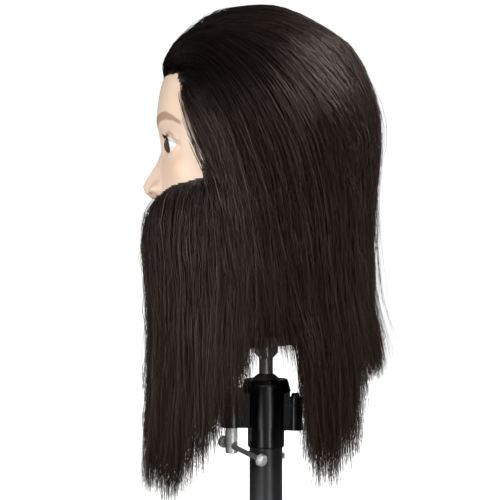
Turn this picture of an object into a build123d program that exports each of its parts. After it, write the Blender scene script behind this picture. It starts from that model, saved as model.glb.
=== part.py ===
from build123d import *
from math import cos, radians, sin
import os

# Mannequin training head on a ball-joint clamp holder, in millimetres.
# +Z is up, the face looks towards -Y and the head's own left side is +X.
# The origin is on the pole's axis, at the mouth of the bore that a stand's spigot enters.

os.makedirs("parts", exist_ok=True)

# ---------------------------------------------------------------- driving dimensions
FIT = 0.05  # radial gap of seated and turning fits
GAP = 0.5  # gap between soft pieces and their neighbours

# pole
POLE_D, POLE_WALL, POLE_TOP = 30.0, 2.0, 84.0
BUSH_BORE_D, BUSH_LENGTH, BUSH_LIP = 22.0, 30.0, 2.0
RIVET_Z, RIVET_D, RIVET_HEAD_D, RIVET_HEAD_H = 76.0, 4.0, 7.4, 1.4
BUSH_ROUND = 0.8

# ball
BALL_Z, BALL_R = 137.0, 14.5
SEAT_R = BALL_R + FIT  # spherical face of both seat rings
BALL_CLEAR_R = 14.8  # spherical face of the cap's rim
TIE_D = 6.0
TIE_HEAD_D, TIE_HEAD_H = 10.0, 5.8
TIE_HEAD_TOP = 129.9
TIE_KEY_AF = 5.0  # hexagon in the tie bolt's head
LOWER_SEAT_H = 11.5

# socket body
COLLAR_R = 16.5
SPIGOT_BOTTOM, SPIGOT_BORE_R, CORE_TOP = 56.0, 9.0, 112.0
POCKET_R, POCKET_FLOOR, BODY_TOP = 14.8, 120.0, 133.5
PANEL_R, PANEL_WIDTH, PANEL_TOP = 18.9, 15.0, 140.4
LUG_TOP = 121.0
REAR_Y, REAR_R, REAR_LUG_BOTTOM = 26.5, 6.5, 99.0
FRONT_Y, FRONT_R, FRONT_LUG_BOTTOM = -31.0, 9.5, 101.7
WEB_SINK = 2.0  # how far a lug's web reaches into the round collar

# socket cap
EAR_BOTTOM, REAR_EAR_TOP, FRONT_EAR_TOP = 122.0, 128.5, 136.8
CAP_BOTTOM, CAP_TOP, CAP_BASE_R, CAP_RIM_R = 134.1, 145.0, 22.6, 19.4
CAP_POCKET_R, CAP_POCKET_TOP = 16.3, 142.2
WINDOW_TOP = PANEL_TOP + 0.6

# cap bolt, M4
BOLT_D, BOLT_HEAD_D, BOLT_HEAD_H = 4.0, 8.0, 3.2
BOLT_WASHER_D, BOLT_WASHER_H = 9.0, 0.8
BOLT_NUT_AF, BOLT_NUT_H = 7.0, 3.2
BOLT_KEY_AF, BOLT_ROUND = 3.0, 2.2
CLEAR = 0.2  # radial gap of a bolt in its hole
NUT_CORNER = 1.1  # radius of a nut's turned corners, over half its width across flats
EAR_ROOT_Y = 21.6  # the rear ear's thick root ends short of the washer

# clamp screw, M8, with its sliding bar
SCREW_D, SCREW_HEAD_R, SCREW_HEAD_BOTTOM, SCREW_HEAD_TOP = 8.0, 5.65, 78.3, 102.2
SCREW_NUT_AF, SCREW_NUT_H = 13.0, 6.4
THRUST_R, THRUST_H = 6.7, 1.6
HOLE_Z, HOLE_R = 85.2, 4.1
BAR_R, BAR_HEADING, BAR_DROOP = 2.4, 45.0, 13.7  # heading from +Y towards +X, in degrees
BAR_NEAR, BAR_FAR = 36.6, 8.0  # inner faces of the two end caps, from the screw's axis
BAR_CAP_R, BAR_CAP_LENGTH, BAR_CAP_FLOOR = 5.5, 6.0, 1.9
BAR_END_GAP = 0.1

# peg
SHAFT_R, SHAFT_BOTTOM, FIN_BOTTOM = 6.3, 146.0, 163.8
CORE_R, FIN_R, FIN_WIDTH, FIN_TOP, PEG_TOP = 7.5, 11.5, 2.2, 212.0, 222.0
FIN_COUNT, TIE_NUT_AF, TIE_NUT_H, TIE_NUT_Z = 6, 10.0, 5.0, 214.0

# head
SKIN = 4.0
NECK_BASE_Z, NECK_SLANT, NECK_PLATE = 176.8, 4.9, 8.0  # height on the axis, degrees, thickness
NECK_BOTTOM, NECK_TOP = 165.0, 290.0  # reach of the neck's form before it is cut
NECK_Y, NECK_RX, NECK_RY = 2.0, 50.0, 48.0  # ellipse of the neck's base
HUB_R, HUB_TOP, HUB_ROOF = 16.0, 236.0, 8.0
FLOOR_T, RING_H, RING_T, RIB_T = 4.0, 20.0, 3.5, 3.0  # inside of the neck's base
EYE_R, EYE_WALL, EYE_X, EYE_Y, EYE_Z = 12.5, 2.5, 31.0, -76.5, 353.8
LASH_LENGTH, LASH_T, LASH_RISE = 5.0, 0.8, 5.0
EAR_Y, EAR_Z, EAR_HEIGHT, EAR_WIDTH = 2.0, 325.0, 58.0, 32.0
EAR_ROOT_X, EAR_REACH, EAR_ROUND = 60.0, 16.0, 4.0

# hair
FRINGE_Z = 413.0  # lowest point of the front hairline
CHEEK_Y, CHEEK_Z = -48.0, 331.0  # where the side hairline meets the beard
SIDE_HAIRLINE = [(-92, 414), (-80, 421), (-75, 387), (-68, 360), (-59, 342)]  # (y, z) from the fringe down
HANG_Z = 330.5  # the hanging hair starts here
HAIR_RX, HAIR_RY, HAIR_Y = 92.0, 101.5, 1.5  # outer ellipse of the hanging hair
BEARD_RX, BEARD_RY, BEARD_Y = 82.0, 94.0, -18.0  # outer ellipse of the beard
SHEET = 8.0  # thickness of the hanging hair
SHEET_SPLIT_X = 36.0  # the sheets across the middle end here
MOUSTACHE_Z, MOUSTACHE_H, MOUSTACHE_OUT, MOUSTACHE_T = 301.0, 9.5, 3.0, 10.5
GAP_FRONT, GAP_BACK = -17.0, 33.0  # the opening over the holder, along Y
BACK_Y, BEARD_FRONT_Y = 110.0, -120.0  # planes beyond the hair at the back and the front
BACK_ENDS, SIDE_ENDS, BEARD_ENDS = (50, 140), (180, 180), (50, 105)  # lower ends, at low and high y
BEARD_TOPS = (300, 330)


def level(height):
    """Horizontal plane at a height."""
    return Plane.XY.offset(height)


def slanted(height):
    """The neck base's plane, which is lower at the front, at a height on the axis."""
    return Plane.XY.offset(height).rotated((NECK_SLANT, 0, 0))


# direction of the bar: forward and down from the screw, and back again
bar_way = Vector(
    sin(radians(BAR_HEADING)) * cos(radians(BAR_DROOP)),
    cos(radians(BAR_HEADING)) * cos(radians(BAR_DROOP)),
    -sin(radians(BAR_DROOP)),
)
hole_way = Vector(sin(radians(BAR_HEADING)), cos(radians(BAR_HEADING)), 0)
bar_centre = Vector(0, FRONT_Y, HOLE_Z)


def along_bar(distance):
    """Plane square to the bar, at a distance from the screw's axis."""
    return Plane(origin=bar_centre + bar_way * distance, z_dir=bar_way)


# ---------------------------------------------------------------- pole
with BuildPart() as pole_bush:
    with BuildSketch(level(0)):
        Circle(POLE_D / 2)
        Circle(BUSH_BORE_D / 2, mode=Mode.SUBTRACT)
    extrude(amount=BUSH_LIP)
    with BuildSketch(level(BUSH_LIP)):
        Circle(POLE_D / 2 - POLE_WALL - FIT)
        Circle(BUSH_BORE_D / 2, mode=Mode.SUBTRACT)
    extrude(amount=BUSH_LENGTH - BUSH_LIP)
    lowest = pole_bush.edges().filter_by(GeomType.CIRCLE).group_by(Axis.Z)[0]
    fillet(lowest.sort_by(SortBy.RADIUS)[-1], BUSH_ROUND)

with BuildPart() as pole_tube:
    with BuildSketch(level(BUSH_LIP)):
        Circle(POLE_D / 2)
        Circle(POLE_D / 2 - POLE_WALL, mode=Mode.SUBTRACT)
    extrude(amount=POLE_TOP - BUSH_LIP)
    with BuildSketch(Plane.XZ):
        with Locations((0, RIVET_Z)):
            Circle(RIVET_D / 2 + FIT)
    extrude(amount=POLE_D, both=True, mode=Mode.SUBTRACT)

with BuildPart() as cross_rivet:
    # the shank is flush in front, and its head is behind
    with BuildSketch(Plane.XZ.offset(POLE_D / 2)):
        with Locations((0, RIVET_Z)):
            Circle(RIVET_D / 2)
    extrude(amount=-POLE_D - 0.6)
    with BuildSketch(Plane.XZ.offset(-POLE_D / 2 - 0.5)):
        with Locations((0, RIVET_Z)):
            Circle(RIVET_HEAD_D / 2)
    extrude(amount=-RIVET_HEAD_H)
    fillet(cross_rivet.edges().filter_by(GeomType.CIRCLE).sort_by(Axis.Y)[-1], RIVET_HEAD_H - 0.1)

# ---------------------------------------------------------------- socket body
with BuildPart() as socket_body:
    with BuildSketch(level(POLE_TOP)):
        Circle(COLLAR_R)
    extrude(amount=BODY_TOP - POLE_TOP)
    fillet(socket_body.edges().group_by(Axis.Z)[0], 1.4)
    with BuildSketch(level(SPIGOT_BOTTOM)):
        Circle(POLE_D / 2 - POLE_WALL - FIT)
    extrude(amount=POLE_TOP + 2 - SPIGOT_BOTTOM)
    # raised panels at both sides, whose tongues enter the cap's windows
    with BuildSketch(level(FRONT_LUG_BOTTOM)):
        Circle(PANEL_R)
        Rectangle(2 * PANEL_R, PANEL_WIDTH, mode=Mode.INTERSECT)
        Circle(COLLAR_R - 0.1, mode=Mode.SUBTRACT)
    extrude(amount=PANEL_TOP - FRONT_LUG_BOTTOM)
    # rear lug
    with BuildSketch(level(REAR_LUG_BOTTOM)):
        with Locations((0, REAR_Y)):
            Circle(REAR_R)
        with Locations((0, (REAR_Y + COLLAR_R) / 2 - WEB_SINK / 2)):
            Rectangle(2 * REAR_R - 3, REAR_Y - COLLAR_R + 2 * WEB_SINK)
    extrude(amount=LUG_TOP - REAR_LUG_BOTTOM)
    # front lug
    with BuildSketch(level(FRONT_LUG_BOTTOM)):
        with Locations((0, FRONT_Y)):
            Circle(FRONT_R)
        with Locations((0, (FRONT_Y - COLLAR_R) / 2 + WEB_SINK / 2)):
            Rectangle(2 * FRONT_R - 4, -FRONT_Y - COLLAR_R + 3 * WEB_SINK)
    extrude(amount=LUG_TOP - FRONT_LUG_BOTTOM)
    # ball pocket and hollow core
    with BuildSketch(level(POCKET_FLOOR)):
        Circle(POCKET_R)
    extrude(amount=BODY_TOP - POCKET_FLOOR, mode=Mode.SUBTRACT)
    with BuildSketch(level(SPIGOT_BOTTOM)):
        Circle(SPIGOT_BORE_R)
    extrude(amount=CORE_TOP - SPIGOT_BOTTOM, mode=Mode.SUBTRACT)
    # bolt hole with its hexagonal nut pocket
    with BuildSketch(level(REAR_LUG_BOTTOM)):
        with Locations((0, REAR_Y)):
            Circle(BOLT_D / 2 + CLEAR)
    extrude(amount=LUG_TOP - REAR_LUG_BOTTOM, mode=Mode.SUBTRACT)
    with BuildSketch(level(REAR_LUG_BOTTOM)):
        with Locations((0, REAR_Y)):
            RegularPolygon(BOLT_NUT_AF / 2 + FIT, 6, major_radius=False)
    extrude(amount=BOLT_NUT_H + 1, mode=Mode.SUBTRACT)
    # clamp screw hole with the counterbore of its thrust washer
    with BuildSketch(level(FRONT_LUG_BOTTOM)):
        with Locations((0, FRONT_Y)):
            Circle(SCREW_D / 2 + 0.3)
    extrude(amount=LUG_TOP - FRONT_LUG_BOTTOM, mode=Mode.SUBTRACT)
    with BuildSketch(level(FRONT_LUG_BOTTOM)):
        with Locations((0, FRONT_Y)):
            Circle(THRUST_R + 0.3)
    extrude(amount=SCREW_HEAD_TOP + THRUST_H + 0.1 - FRONT_LUG_BOTTOM, mode=Mode.SUBTRACT)
    # cross hole for the rivet
    with BuildSketch(Plane.XZ):
        with Locations((0, RIVET_Z)):
            Circle(RIVET_D / 2 + FIT)
    extrude(amount=POLE_D, both=True, mode=Mode.SUBTRACT)

# ---------------------------------------------------------------- ball and its seats
with BuildPart() as lower_seat:
    with BuildSketch(level(POCKET_FLOOR + FIT)):
        Circle(POCKET_R - FIT)
        Circle(POCKET_R / 2, mode=Mode.SUBTRACT)
    extrude(amount=LOWER_SEAT_H)
    with Locations((0, 0, BALL_Z)):
        Sphere(SEAT_R, mode=Mode.SUBTRACT)

with BuildPart() as upper_seat:
    with BuildSketch(level(BALL_Z + 0.3)):
        Circle(CAP_POCKET_R - FIT)
    extrude(amount=CAP_POCKET_TOP - BALL_Z - 0.35)
    with Locations((0, 0, BALL_Z)):
        Sphere(SEAT_R, mode=Mode.SUBTRACT)

with BuildPart() as ball:
    with Locations((0, 0, BALL_Z)):
        Sphere(BALL_R)
    with BuildSketch(level(BALL_Z - BALL_R)):
        Circle(TIE_HEAD_D / 2 + 0.4)
    extrude(amount=TIE_HEAD_TOP - BALL_Z + BALL_R, mode=Mode.SUBTRACT)
    with BuildSketch(level(TIE_HEAD_TOP - 1)):
        Circle(TIE_D / 2 + FIT)
    extrude(amount=SHAFT_BOTTOM - TIE_HEAD_TOP + 2, mode=Mode.SUBTRACT)
    with BuildSketch(level(SHAFT_BOTTOM - FIT)):
        Circle(SHAFT_R + FIT)
    extrude(amount=BALL_R, mode=Mode.SUBTRACT)

# ---------------------------------------------------------------- socket cap
with BuildPart() as socket_cap:
    with BuildSketch(Plane.XZ):
        with BuildLine():
            Polyline(
                (CAP_POCKET_R - 4, CAP_BOTTOM),
                (CAP_BASE_R, CAP_BOTTOM),
                (CAP_RIM_R, CAP_TOP),
                (CAP_POCKET_R - 4, CAP_TOP),
                close=True,
            )
        make_face()
    revolve(axis=Axis.Z)
    fillet(socket_cap.edges().group_by(Axis.Z)[-1].sort_by(SortBy.RADIUS)[-1], 1.0)
    # rear ear
    with BuildSketch(level(EAR_BOTTOM)):
        with Locations((0, REAR_Y)):
            Circle(REAR_R)
        with Locations((0, (REAR_Y + COLLAR_R) / 2 - WEB_SINK / 2)):
            Rectangle(2 * REAR_R - 2, REAR_Y - COLLAR_R + 2 * WEB_SINK)
    extrude(amount=REAR_EAR_TOP - EAR_BOTTOM)
    with BuildSketch(level(EAR_BOTTOM)):
        with Locations((0, (EAR_ROOT_Y + COLLAR_R) / 2)):
            Rectangle(2 * REAR_R, EAR_ROOT_Y - COLLAR_R)
    extrude(amount=CAP_BOTTOM + 1 - EAR_BOTTOM)
    # front ear
    with BuildSketch(level(EAR_BOTTOM)):
        with Locations((0, FRONT_Y)):
            Circle(FRONT_R)
        with Locations((0, (FRONT_Y - COLLAR_R) / 2 + WEB_SINK / 2)):
            Rectangle(2 * FRONT_R - 2, -FRONT_Y - COLLAR_R + 3 * WEB_SINK)
    extrude(amount=FRONT_EAR_TOP - EAR_BOTTOM)
    fillet(
        socket_cap.edges().filter_by_position(Axis.Z, FRONT_EAR_TOP - 0.01, FRONT_EAR_TOP + 0.01), 0.8
    )
    # room for the body below, the upper seat, and the ball in the rim
    with BuildSketch(level(EAR_BOTTOM)):
        Circle(COLLAR_R + 0.4)
    extrude(amount=CAP_BOTTOM - EAR_BOTTOM, mode=Mode.SUBTRACT)
    with BuildSketch(level(CAP_BOTTOM)):
        Circle(CAP_POCKET_R)
    extrude(amount=CAP_POCKET_TOP - CAP_BOTTOM, mode=Mode.SUBTRACT)
    with Locations((0, 0, BALL_Z)):
        Sphere(BALL_CLEAR_R, mode=Mode.SUBTRACT)
    # windows for the body's tongues
    with BuildSketch(level(CAP_BOTTOM)):
        Rectangle(4 * CAP_BASE_R, PANEL_WIDTH + 0.8)
    extrude(amount=WINDOW_TOP - CAP_BOTTOM, mode=Mode.SUBTRACT)
    # bolt hole, screw hole and the pocket of the screw's captive nut
    with BuildSketch(level(EAR_BOTTOM)):
        with Locations((0, REAR_Y)):
            Circle(BOLT_D / 2 + CLEAR)
        with Locations((0, FRONT_Y)):
            Circle(SCREW_D / 2 + 0.3)
    extrude(amount=CAP_TOP - EAR_BOTTOM, mode=Mode.SUBTRACT)
    with BuildSketch(level(FRONT_EAR_TOP - SCREW_NUT_H - 0.2)):
        with Locations((0, FRONT_Y)):
            RegularPolygon(SCREW_NUT_AF / 2 + FIT, 6, major_radius=False)
    extrude(amount=SCREW_NUT_H + 1, mode=Mode.SUBTRACT)


# ---------------------------------------------------------------- fasteners
def nut(across_flats, hole_d, height, bottom, y=0.0):
    """Hexagonal nut standing on a height, with its corners turned down."""
    with BuildPart() as made:
        with BuildSketch(level(bottom)):
            with Locations((0, y)):
                RegularPolygon(across_flats / 2, 6, major_radius=False)
        extrude(amount=height)
        with BuildSketch(level(bottom)):
            with Locations((0, y)):
                Circle(across_flats / 2 * NUT_CORNER)
        extrude(amount=height, mode=Mode.INTERSECT)
        with BuildSketch(level(bottom)):
            with Locations((0, y)):
                Circle(hole_d / 2)
        extrude(amount=height, mode=Mode.SUBTRACT)
    return made


def washer(outer_r, hole_r, height, bottom, y):
    """Flat washer lying on a height."""
    with BuildPart() as made:
        with BuildSketch(level(bottom)):
            with Locations((0, y)):
                Circle(outer_r)
                Circle(hole_r, mode=Mode.SUBTRACT)
        extrude(amount=height)
    return made


cap_nut = nut(BOLT_NUT_AF, BOLT_D + 2 * FIT, BOLT_NUT_H, REAR_LUG_BOTTOM + 0.9, REAR_Y)
cap_washer = washer(BOLT_WASHER_D / 2, BOLT_D / 2 + CLEAR, BOLT_WASHER_H, REAR_EAR_TOP + 0.02, REAR_Y)
clamp_nut = nut(SCREW_NUT_AF, SCREW_D + 2 * FIT, SCREW_NUT_H, FRONT_EAR_TOP - SCREW_NUT_H - 0.15, FRONT_Y)
thrust_washer = washer(THRUST_R, SCREW_D / 2 + CLEAR, THRUST_H, SCREW_HEAD_TOP + 0.05, FRONT_Y)
tie_nut = nut(TIE_NUT_AF, TIE_D + 2 * FIT, TIE_NUT_H, TIE_NUT_Z + FIT)

with BuildPart() as cap_bolt:
    head_bottom = REAR_EAR_TOP + BOLT_WASHER_H + 0.05
    with BuildSketch(level(REAR_LUG_BOTTOM + 0.4)):
        with Locations((0, REAR_Y)):
            Circle(BOLT_D / 2)
    extrude(amount=head_bottom - REAR_LUG_BOTTOM)
    with BuildSketch(level(head_bottom)):
        with Locations((0, REAR_Y)):
            Circle(BOLT_HEAD_D / 2)
    extrude(amount=BOLT_HEAD_H)
    fillet(cap_bolt.edges().group_by(Axis.Z)[-1], BOLT_ROUND)
    with BuildSketch(level(head_bottom + BOLT_HEAD_H)):
        with Locations((0, REAR_Y)):
            RegularPolygon(BOLT_KEY_AF / 2, 6, major_radius=False)
    extrude(amount=-2.0, mode=Mode.SUBTRACT)

with BuildPart() as tie_bolt:
    with BuildSketch(level(TIE_HEAD_TOP - TIE_HEAD_H)):
        Circle(TIE_HEAD_D / 2)
    extrude(amount=TIE_HEAD_H - FIT)
    with BuildSketch(level(TIE_HEAD_TOP - 1)):
        Circle(TIE_D / 2)
    extrude(amount=TIE_NUT_Z + TIE_NUT_H + 1.5 - TIE_HEAD_TOP)
    with BuildSketch(level(TIE_HEAD_TOP - TIE_HEAD_H)):
        RegularPolygon(TIE_KEY_AF / 2, 6, major_radius=False)
    extrude(amount=3.0, mode=Mode.SUBTRACT)

# ---------------------------------------------------------------- clamp screw and bar
with BuildPart() as clamp_screw:
    with BuildSketch(level(SCREW_HEAD_BOTTOM)):
        with Locations((0, FRONT_Y)):
            Circle(SCREW_HEAD_R)
    extrude(amount=SCREW_HEAD_TOP - SCREW_HEAD_BOTTOM)
    chamfer(clamp_screw.edges().group_by(Axis.Z)[0], 0.7)
    with BuildSketch(level(SCREW_HEAD_TOP - 1)):
        with Locations((0, FRONT_Y)):
            Circle(SCREW_D / 2)
    extrude(amount=FRONT_EAR_TOP + 1.5 - SCREW_HEAD_TOP)
    with BuildSketch(Plane(origin=bar_centre, z_dir=hole_way)):
        Circle(HOLE_R)
    extrude(amount=2 * SCREW_HEAD_R, both=True, mode=Mode.SUBTRACT)

with BuildPart() as tommy_bar:
    bar_end = BAR_CAP_LENGTH - BAR_CAP_FLOOR - BAR_END_GAP  # length inside each cap
    with BuildSketch(along_bar(-BAR_FAR - bar_end)):
        Circle(BAR_R)
    extrude(amount=BAR_NEAR + BAR_FAR + 2 * bar_end)


def bar_cap(start, way):
    """Domed end cap of the bar, from its inner face outwards, bored for the bar's end."""
    with BuildPart() as made:
        with BuildSketch(along_bar(start)):
            Circle(BAR_CAP_R)
        extrude(amount=way * BAR_CAP_LENGTH)
        faces = made.faces().filter_by(GeomType.PLANE)
        outer = max(faces, key=lambda face: (face.center() - bar_centre).dot(bar_way * way))
        fillet(outer.edges(), 3.2)
        inner = min(faces, key=lambda face: (face.center() - bar_centre).dot(bar_way * way))
        fillet(inner.edges(), 0.6)
        with BuildSketch(along_bar(start)):
            Circle(BAR_R + 0.01)
        extrude(amount=way * (BAR_CAP_LENGTH - BAR_CAP_FLOOR), mode=Mode.SUBTRACT)
    return made


bar_cap_near = bar_cap(BAR_NEAR, 1)
bar_cap_far = bar_cap(-BAR_FAR, -1)

# ---------------------------------------------------------------- peg
with BuildPart() as peg:
    with BuildSketch(level(SHAFT_BOTTOM)):
        Circle(SHAFT_R)
    extrude(amount=PEG_TOP - SHAFT_BOTTOM)
    with BuildSketch(level(FIN_BOTTOM + 2)):
        Circle(CORE_R)
    extrude(amount=PEG_TOP - FIN_BOTTOM - 2)
    for turn in range(FIN_COUNT):
        with BuildSketch(Plane.XZ.rotated((0, 0, 360 / FIN_COUNT * turn))):
            with BuildLine():
                Polyline(
                    (SHAFT_R - 1, FIN_BOTTOM - 1),
                    (FIN_R, FIN_BOTTOM + FIN_R - SHAFT_R),
                    (FIN_R, FIN_TOP),
                    (CORE_R, PEG_TOP - 2),
                    (SHAFT_R - 1, PEG_TOP - 2),
                    close=True,
                )
            make_face()
        extrude(amount=FIN_WIDTH / 2, both=True)
    with BuildSketch(level(SHAFT_BOTTOM)):
        Circle(TIE_D / 2 + FIT)
    extrude(amount=PEG_TOP - SHAFT_BOTTOM, mode=Mode.SUBTRACT)
    with BuildSketch(level(TIE_NUT_Z)):
        RegularPolygon(TIE_NUT_AF / 2 + FIT, 6, major_radius=False)
    extrude(amount=PEG_TOP - TIE_NUT_Z, mode=Mode.SUBTRACT)


# ---------------------------------------------------------------- head
def ovals(levels, grow=0.0):
    """Loft through level ellipses, each (height, front, back, half width), grown outwards."""
    with BuildPart() as made:
        for height, front, back, half_width in levels:
            with BuildSketch(level(height)):
                with Locations((0, (front + back) / 2)):
                    Ellipse(half_width + grow, (back - front) / 2 + grow)
        loft()
    return made.part


# each row of these forms is height, front, back, half width
SKULL = [  # from under the chin to the crown
    (250, -84, -20, 26),
    (262, -92, 14, 42),
    (290, -94, 52, 57),
    (325, -95, 76, 66),
    (360, -95, 86, 72),
    (390, -98, 90, 75),
    (415, -92, 87, 73),
    (437, -80, 75, 64),
    (455, -60, 54, 48),
    (466, -38, 30, 30),
    (471, -14, 8, 11),
]
NECK = [
    (NECK_BOTTOM, NECK_Y - NECK_RY, NECK_Y + NECK_RY, NECK_RX),
    (215, -46, 52, 51),
    (250, -48, 56, 53),
    (NECK_TOP, -46, 54, 54),
]
NOSE = [(311, -96, 14), (318, -109, 11), (335, -101, 7), (350, -96, 6)]  # height, front, half width
NOSE_ROOT_Y = -85
HAIR = [  # outer shape of the hair above the hanging lengths
    (290, -101, 101, 87),
    (331, -101, 103, 87),
    (370, -101, 103.5, 87),
    (400, -99, 99.5, 85.5),
    (421, -95, 91.5, 81),
    (443, -85, 76, 69),
    (457, -71, 61, 56),
    (468, -57, 46, 43),
    (476, -40, 29, 27),
    (481, -15, 8, 10),
]


def stations(levels, down):
    """The same levels with the lowest and highest drawn in by a thickness."""
    first, last = levels[0], levels[-1]
    return [(first[0] + down, *first[1:])] + levels[1:-1] + [(last[0] - down, *last[1:])]


skull_outer = ovals(SKULL)
skull_inner = ovals(stations(SKULL, SKIN), -SKIN)
skull_room = ovals(stations(SKULL, -GAP), GAP)
neck_outer = ovals(NECK)
neck_inner = ovals(NECK, -SKIN)

with BuildPart() as ear_forms:
    for side in (1, -1):
        with BuildSketch(Plane.YZ.offset(side * EAR_ROOT_X)):
            with Locations((EAR_Y, EAR_Z)):
                Ellipse(EAR_WIDTH / 2, EAR_HEIGHT / 2)
        extrude(amount=side * EAR_REACH)
    fillet(ear_forms.edges().group_by(Axis.X)[0], EAR_ROUND)
    fillet(ear_forms.edges().group_by(Axis.X)[-1], EAR_ROUND)

with BuildPart() as nose_form:
    for height, front, half_width in NOSE:
        with BuildSketch(level(height)):
            with Locations((0, NOSE_ROOT_Y)):
                Ellipse(half_width, NOSE_ROOT_Y - front)
    loft()

with BuildPart() as head_shell:
    add(skull_outer)
    add(neck_outer)
    add(ear_forms.part)
    add(nose_form.part)
    add(skull_inner, mode=Mode.SUBTRACT)
    add(neck_inner, mode=Mode.SUBTRACT)
    with Locations((EYE_X, EYE_Y, EYE_Z), (-EYE_X, EYE_Y, EYE_Z)):
        Sphere(EYE_R + FIT, mode=Mode.SUBTRACT)
    split(bisect_by=slanted(NECK_BASE_Z + NECK_PLATE + 0.1), keep=Keep.TOP)

with BuildPart() as neck_socket:
    with BuildSketch(level(NECK_BOTTOM)):
        with Locations((0, NECK_Y)):
            Ellipse(NECK_RX, NECK_RY)
    extrude(amount=NECK_BASE_Z + 2 * NECK_PLATE - NECK_BOTTOM)
    split(bisect_by=slanted(NECK_BASE_Z + NECK_PLATE), keep=Keep.BOTTOM)
    # ring that enters the skin, and the hub that the peg's fins grip
    ring_gap = SKIN + 3 * GAP
    with BuildSketch(level(NECK_BASE_Z + FLOOR_T)):
        with Locations((0, NECK_Y)):
            Ellipse(NECK_RX - ring_gap, NECK_RY - ring_gap)
            Ellipse(NECK_RX - ring_gap - RING_T, NECK_RY - ring_gap - RING_T, mode=Mode.SUBTRACT)
        Circle(HUB_R)
        for turn in (45, 135):
            Rectangle(2 * (NECK_RY - ring_gap - RING_T + 1), RIB_T, rotation=turn)
    extrude(amount=RING_H)
    with BuildSketch(level(NECK_BASE_Z + FLOOR_T)):
        Circle(HUB_R)
    extrude(amount=HUB_TOP - NECK_BASE_Z - FLOOR_T)
    split(bisect_by=slanted(NECK_BASE_Z), keep=Keep.TOP)
    with BuildSketch(level(NECK_BOTTOM)):
        Circle(FIN_R + 3 * FIT)
    extrude(amount=HUB_TOP - HUB_ROOF - NECK_BOTTOM, mode=Mode.SUBTRACT)


def eye(side):
    """Front of a hollow acrylic eyeball."""
    with BuildPart() as made:
        with Locations((side * EYE_X, EYE_Y, EYE_Z)):
            Sphere(EYE_R)
            Sphere(EYE_R - EYE_WALL, mode=Mode.SUBTRACT)
        split(bisect_by=Plane.XZ.offset(-EYE_Y - 1), keep=Keep.TOP)
    return made


def lashes(side):
    """Curved strip of upper lashes, standing out from the lid."""
    with BuildPart() as made:
        with BuildSketch(level(EYE_Z + LASH_RISE)):
            with Locations((side * EYE_X, EYE_Y)):
                Circle(EYE_R + 1 + LASH_LENGTH)
                Circle(EYE_R + 1, mode=Mode.SUBTRACT)
            with Locations((side * EYE_X, EYE_Y - EYE_R)):
                Rectangle(2 * EYE_R, 1.5 * EYE_R, mode=Mode.INTERSECT)
        extrude(amount=LASH_T)
        add(skull_room, mode=Mode.SUBTRACT)
    return made


eye_left, eye_right = eye(1), eye(-1)
lashes_left, lashes_right = lashes(1), lashes(-1)

# ---------------------------------------------------------------- hair
hair_outer = ovals(HAIR)

with BuildPart() as hair_cap:
    add(hair_outer)
    add(skull_room, mode=Mode.SUBTRACT)
    for side in (1, -1):
        with Locations((side * (EAR_ROOT_X + 10), EAR_Y, EAR_Z)):
            Box(EAR_REACH - 2, EAR_WIDTH + 2, EAR_HEIGHT + 2, mode=Mode.SUBTRACT)
    # the face's opening, from the fringe down the side hairline
    with BuildSketch(Plane.YZ):
        with BuildLine():
            Polyline(
                (BEARD_FRONT_Y, FRINGE_Z),
                *SIDE_HAIRLINE,
                (CHEEK_Y, CHEEK_Z),
                (CHEEK_Y, NECK_TOP - 10),
                (BEARD_FRONT_Y, NECK_TOP - 10),
                close=True,
            )
        make_face()
    extrude(amount=2 * HAIR_RX, both=True, mode=Mode.SUBTRACT)
    split(bisect_by=level(CHEEK_Z), keep=Keep.TOP)


def hanging(form, low_y, high_y, side, bottom, top):
    """Sheet of hanging hair: a stretch of an elliptical wall between two Y planes.

    form is the wall's centre y and its half width and depth. side is 1 for the left, -1 for the
    right and 0 for the stretch across the middle. bottom and top are each a pair of heights, at
    low_y and at high_y.
    """
    centre_y, half_width, half_depth = form
    with BuildPart() as made:
        with BuildSketch(level(0)):
            with Locations((0, centre_y)):
                Ellipse(half_width, half_depth)
                Ellipse(half_width - SHEET, half_depth - SHEET, mode=Mode.SUBTRACT)
            middle_y, depth = (low_y + high_y) / 2, high_y - low_y - 2 * GAP
            if side:
                with Locations((side * (SHEET_SPLIT_X + half_width), middle_y)):
                    Rectangle(2 * (half_width - GAP), depth, mode=Mode.INTERSECT)
            else:
                with Locations((0, middle_y)):
                    Rectangle(2 * (SHEET_SPLIT_X - GAP), depth, mode=Mode.INTERSECT)
        extrude(amount=HANG_Z)
        with BuildSketch(Plane.YZ):
            with BuildLine():
                Polyline(
                    (low_y, bottom[0]), (high_y, bottom[1]), (high_y, top[1]), (low_y, top[0]), close=True
                )
            make_face()
        extrude(amount=2 * half_width, both=True, mode=Mode.INTERSECT)
    return made


hair_form, beard_form = (HAIR_Y, HAIR_RX, HAIR_RY), (BEARD_Y, BEARD_RX, BEARD_RY)
hang_tops, beard_front_tops, beard_front_ends = (HANG_Z, HANG_Z), BEARD_TOPS[:1] * 2, BEARD_ENDS[:1] * 2
hair_back = hanging(hair_form, GAP_BACK, BACK_Y, 0, BACK_ENDS, hang_tops)
hair_back_left, hair_back_right = (
    hanging(hair_form, GAP_BACK, BACK_Y, side, BACK_ENDS, hang_tops) for side in (1, -1)
)
hair_side_left, hair_side_right = (
    hanging(hair_form, GAP_FRONT, GAP_BACK, side, SIDE_ENDS, hang_tops) for side in (1, -1)
)
beard_front = hanging(beard_form, BEARD_FRONT_Y, GAP_FRONT, 0, beard_front_ends, beard_front_tops)
beard_left, beard_right = (
    hanging(beard_form, BEARD_FRONT_Y, GAP_FRONT, side, BEARD_ENDS, BEARD_TOPS) for side in (1, -1)
)

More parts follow.
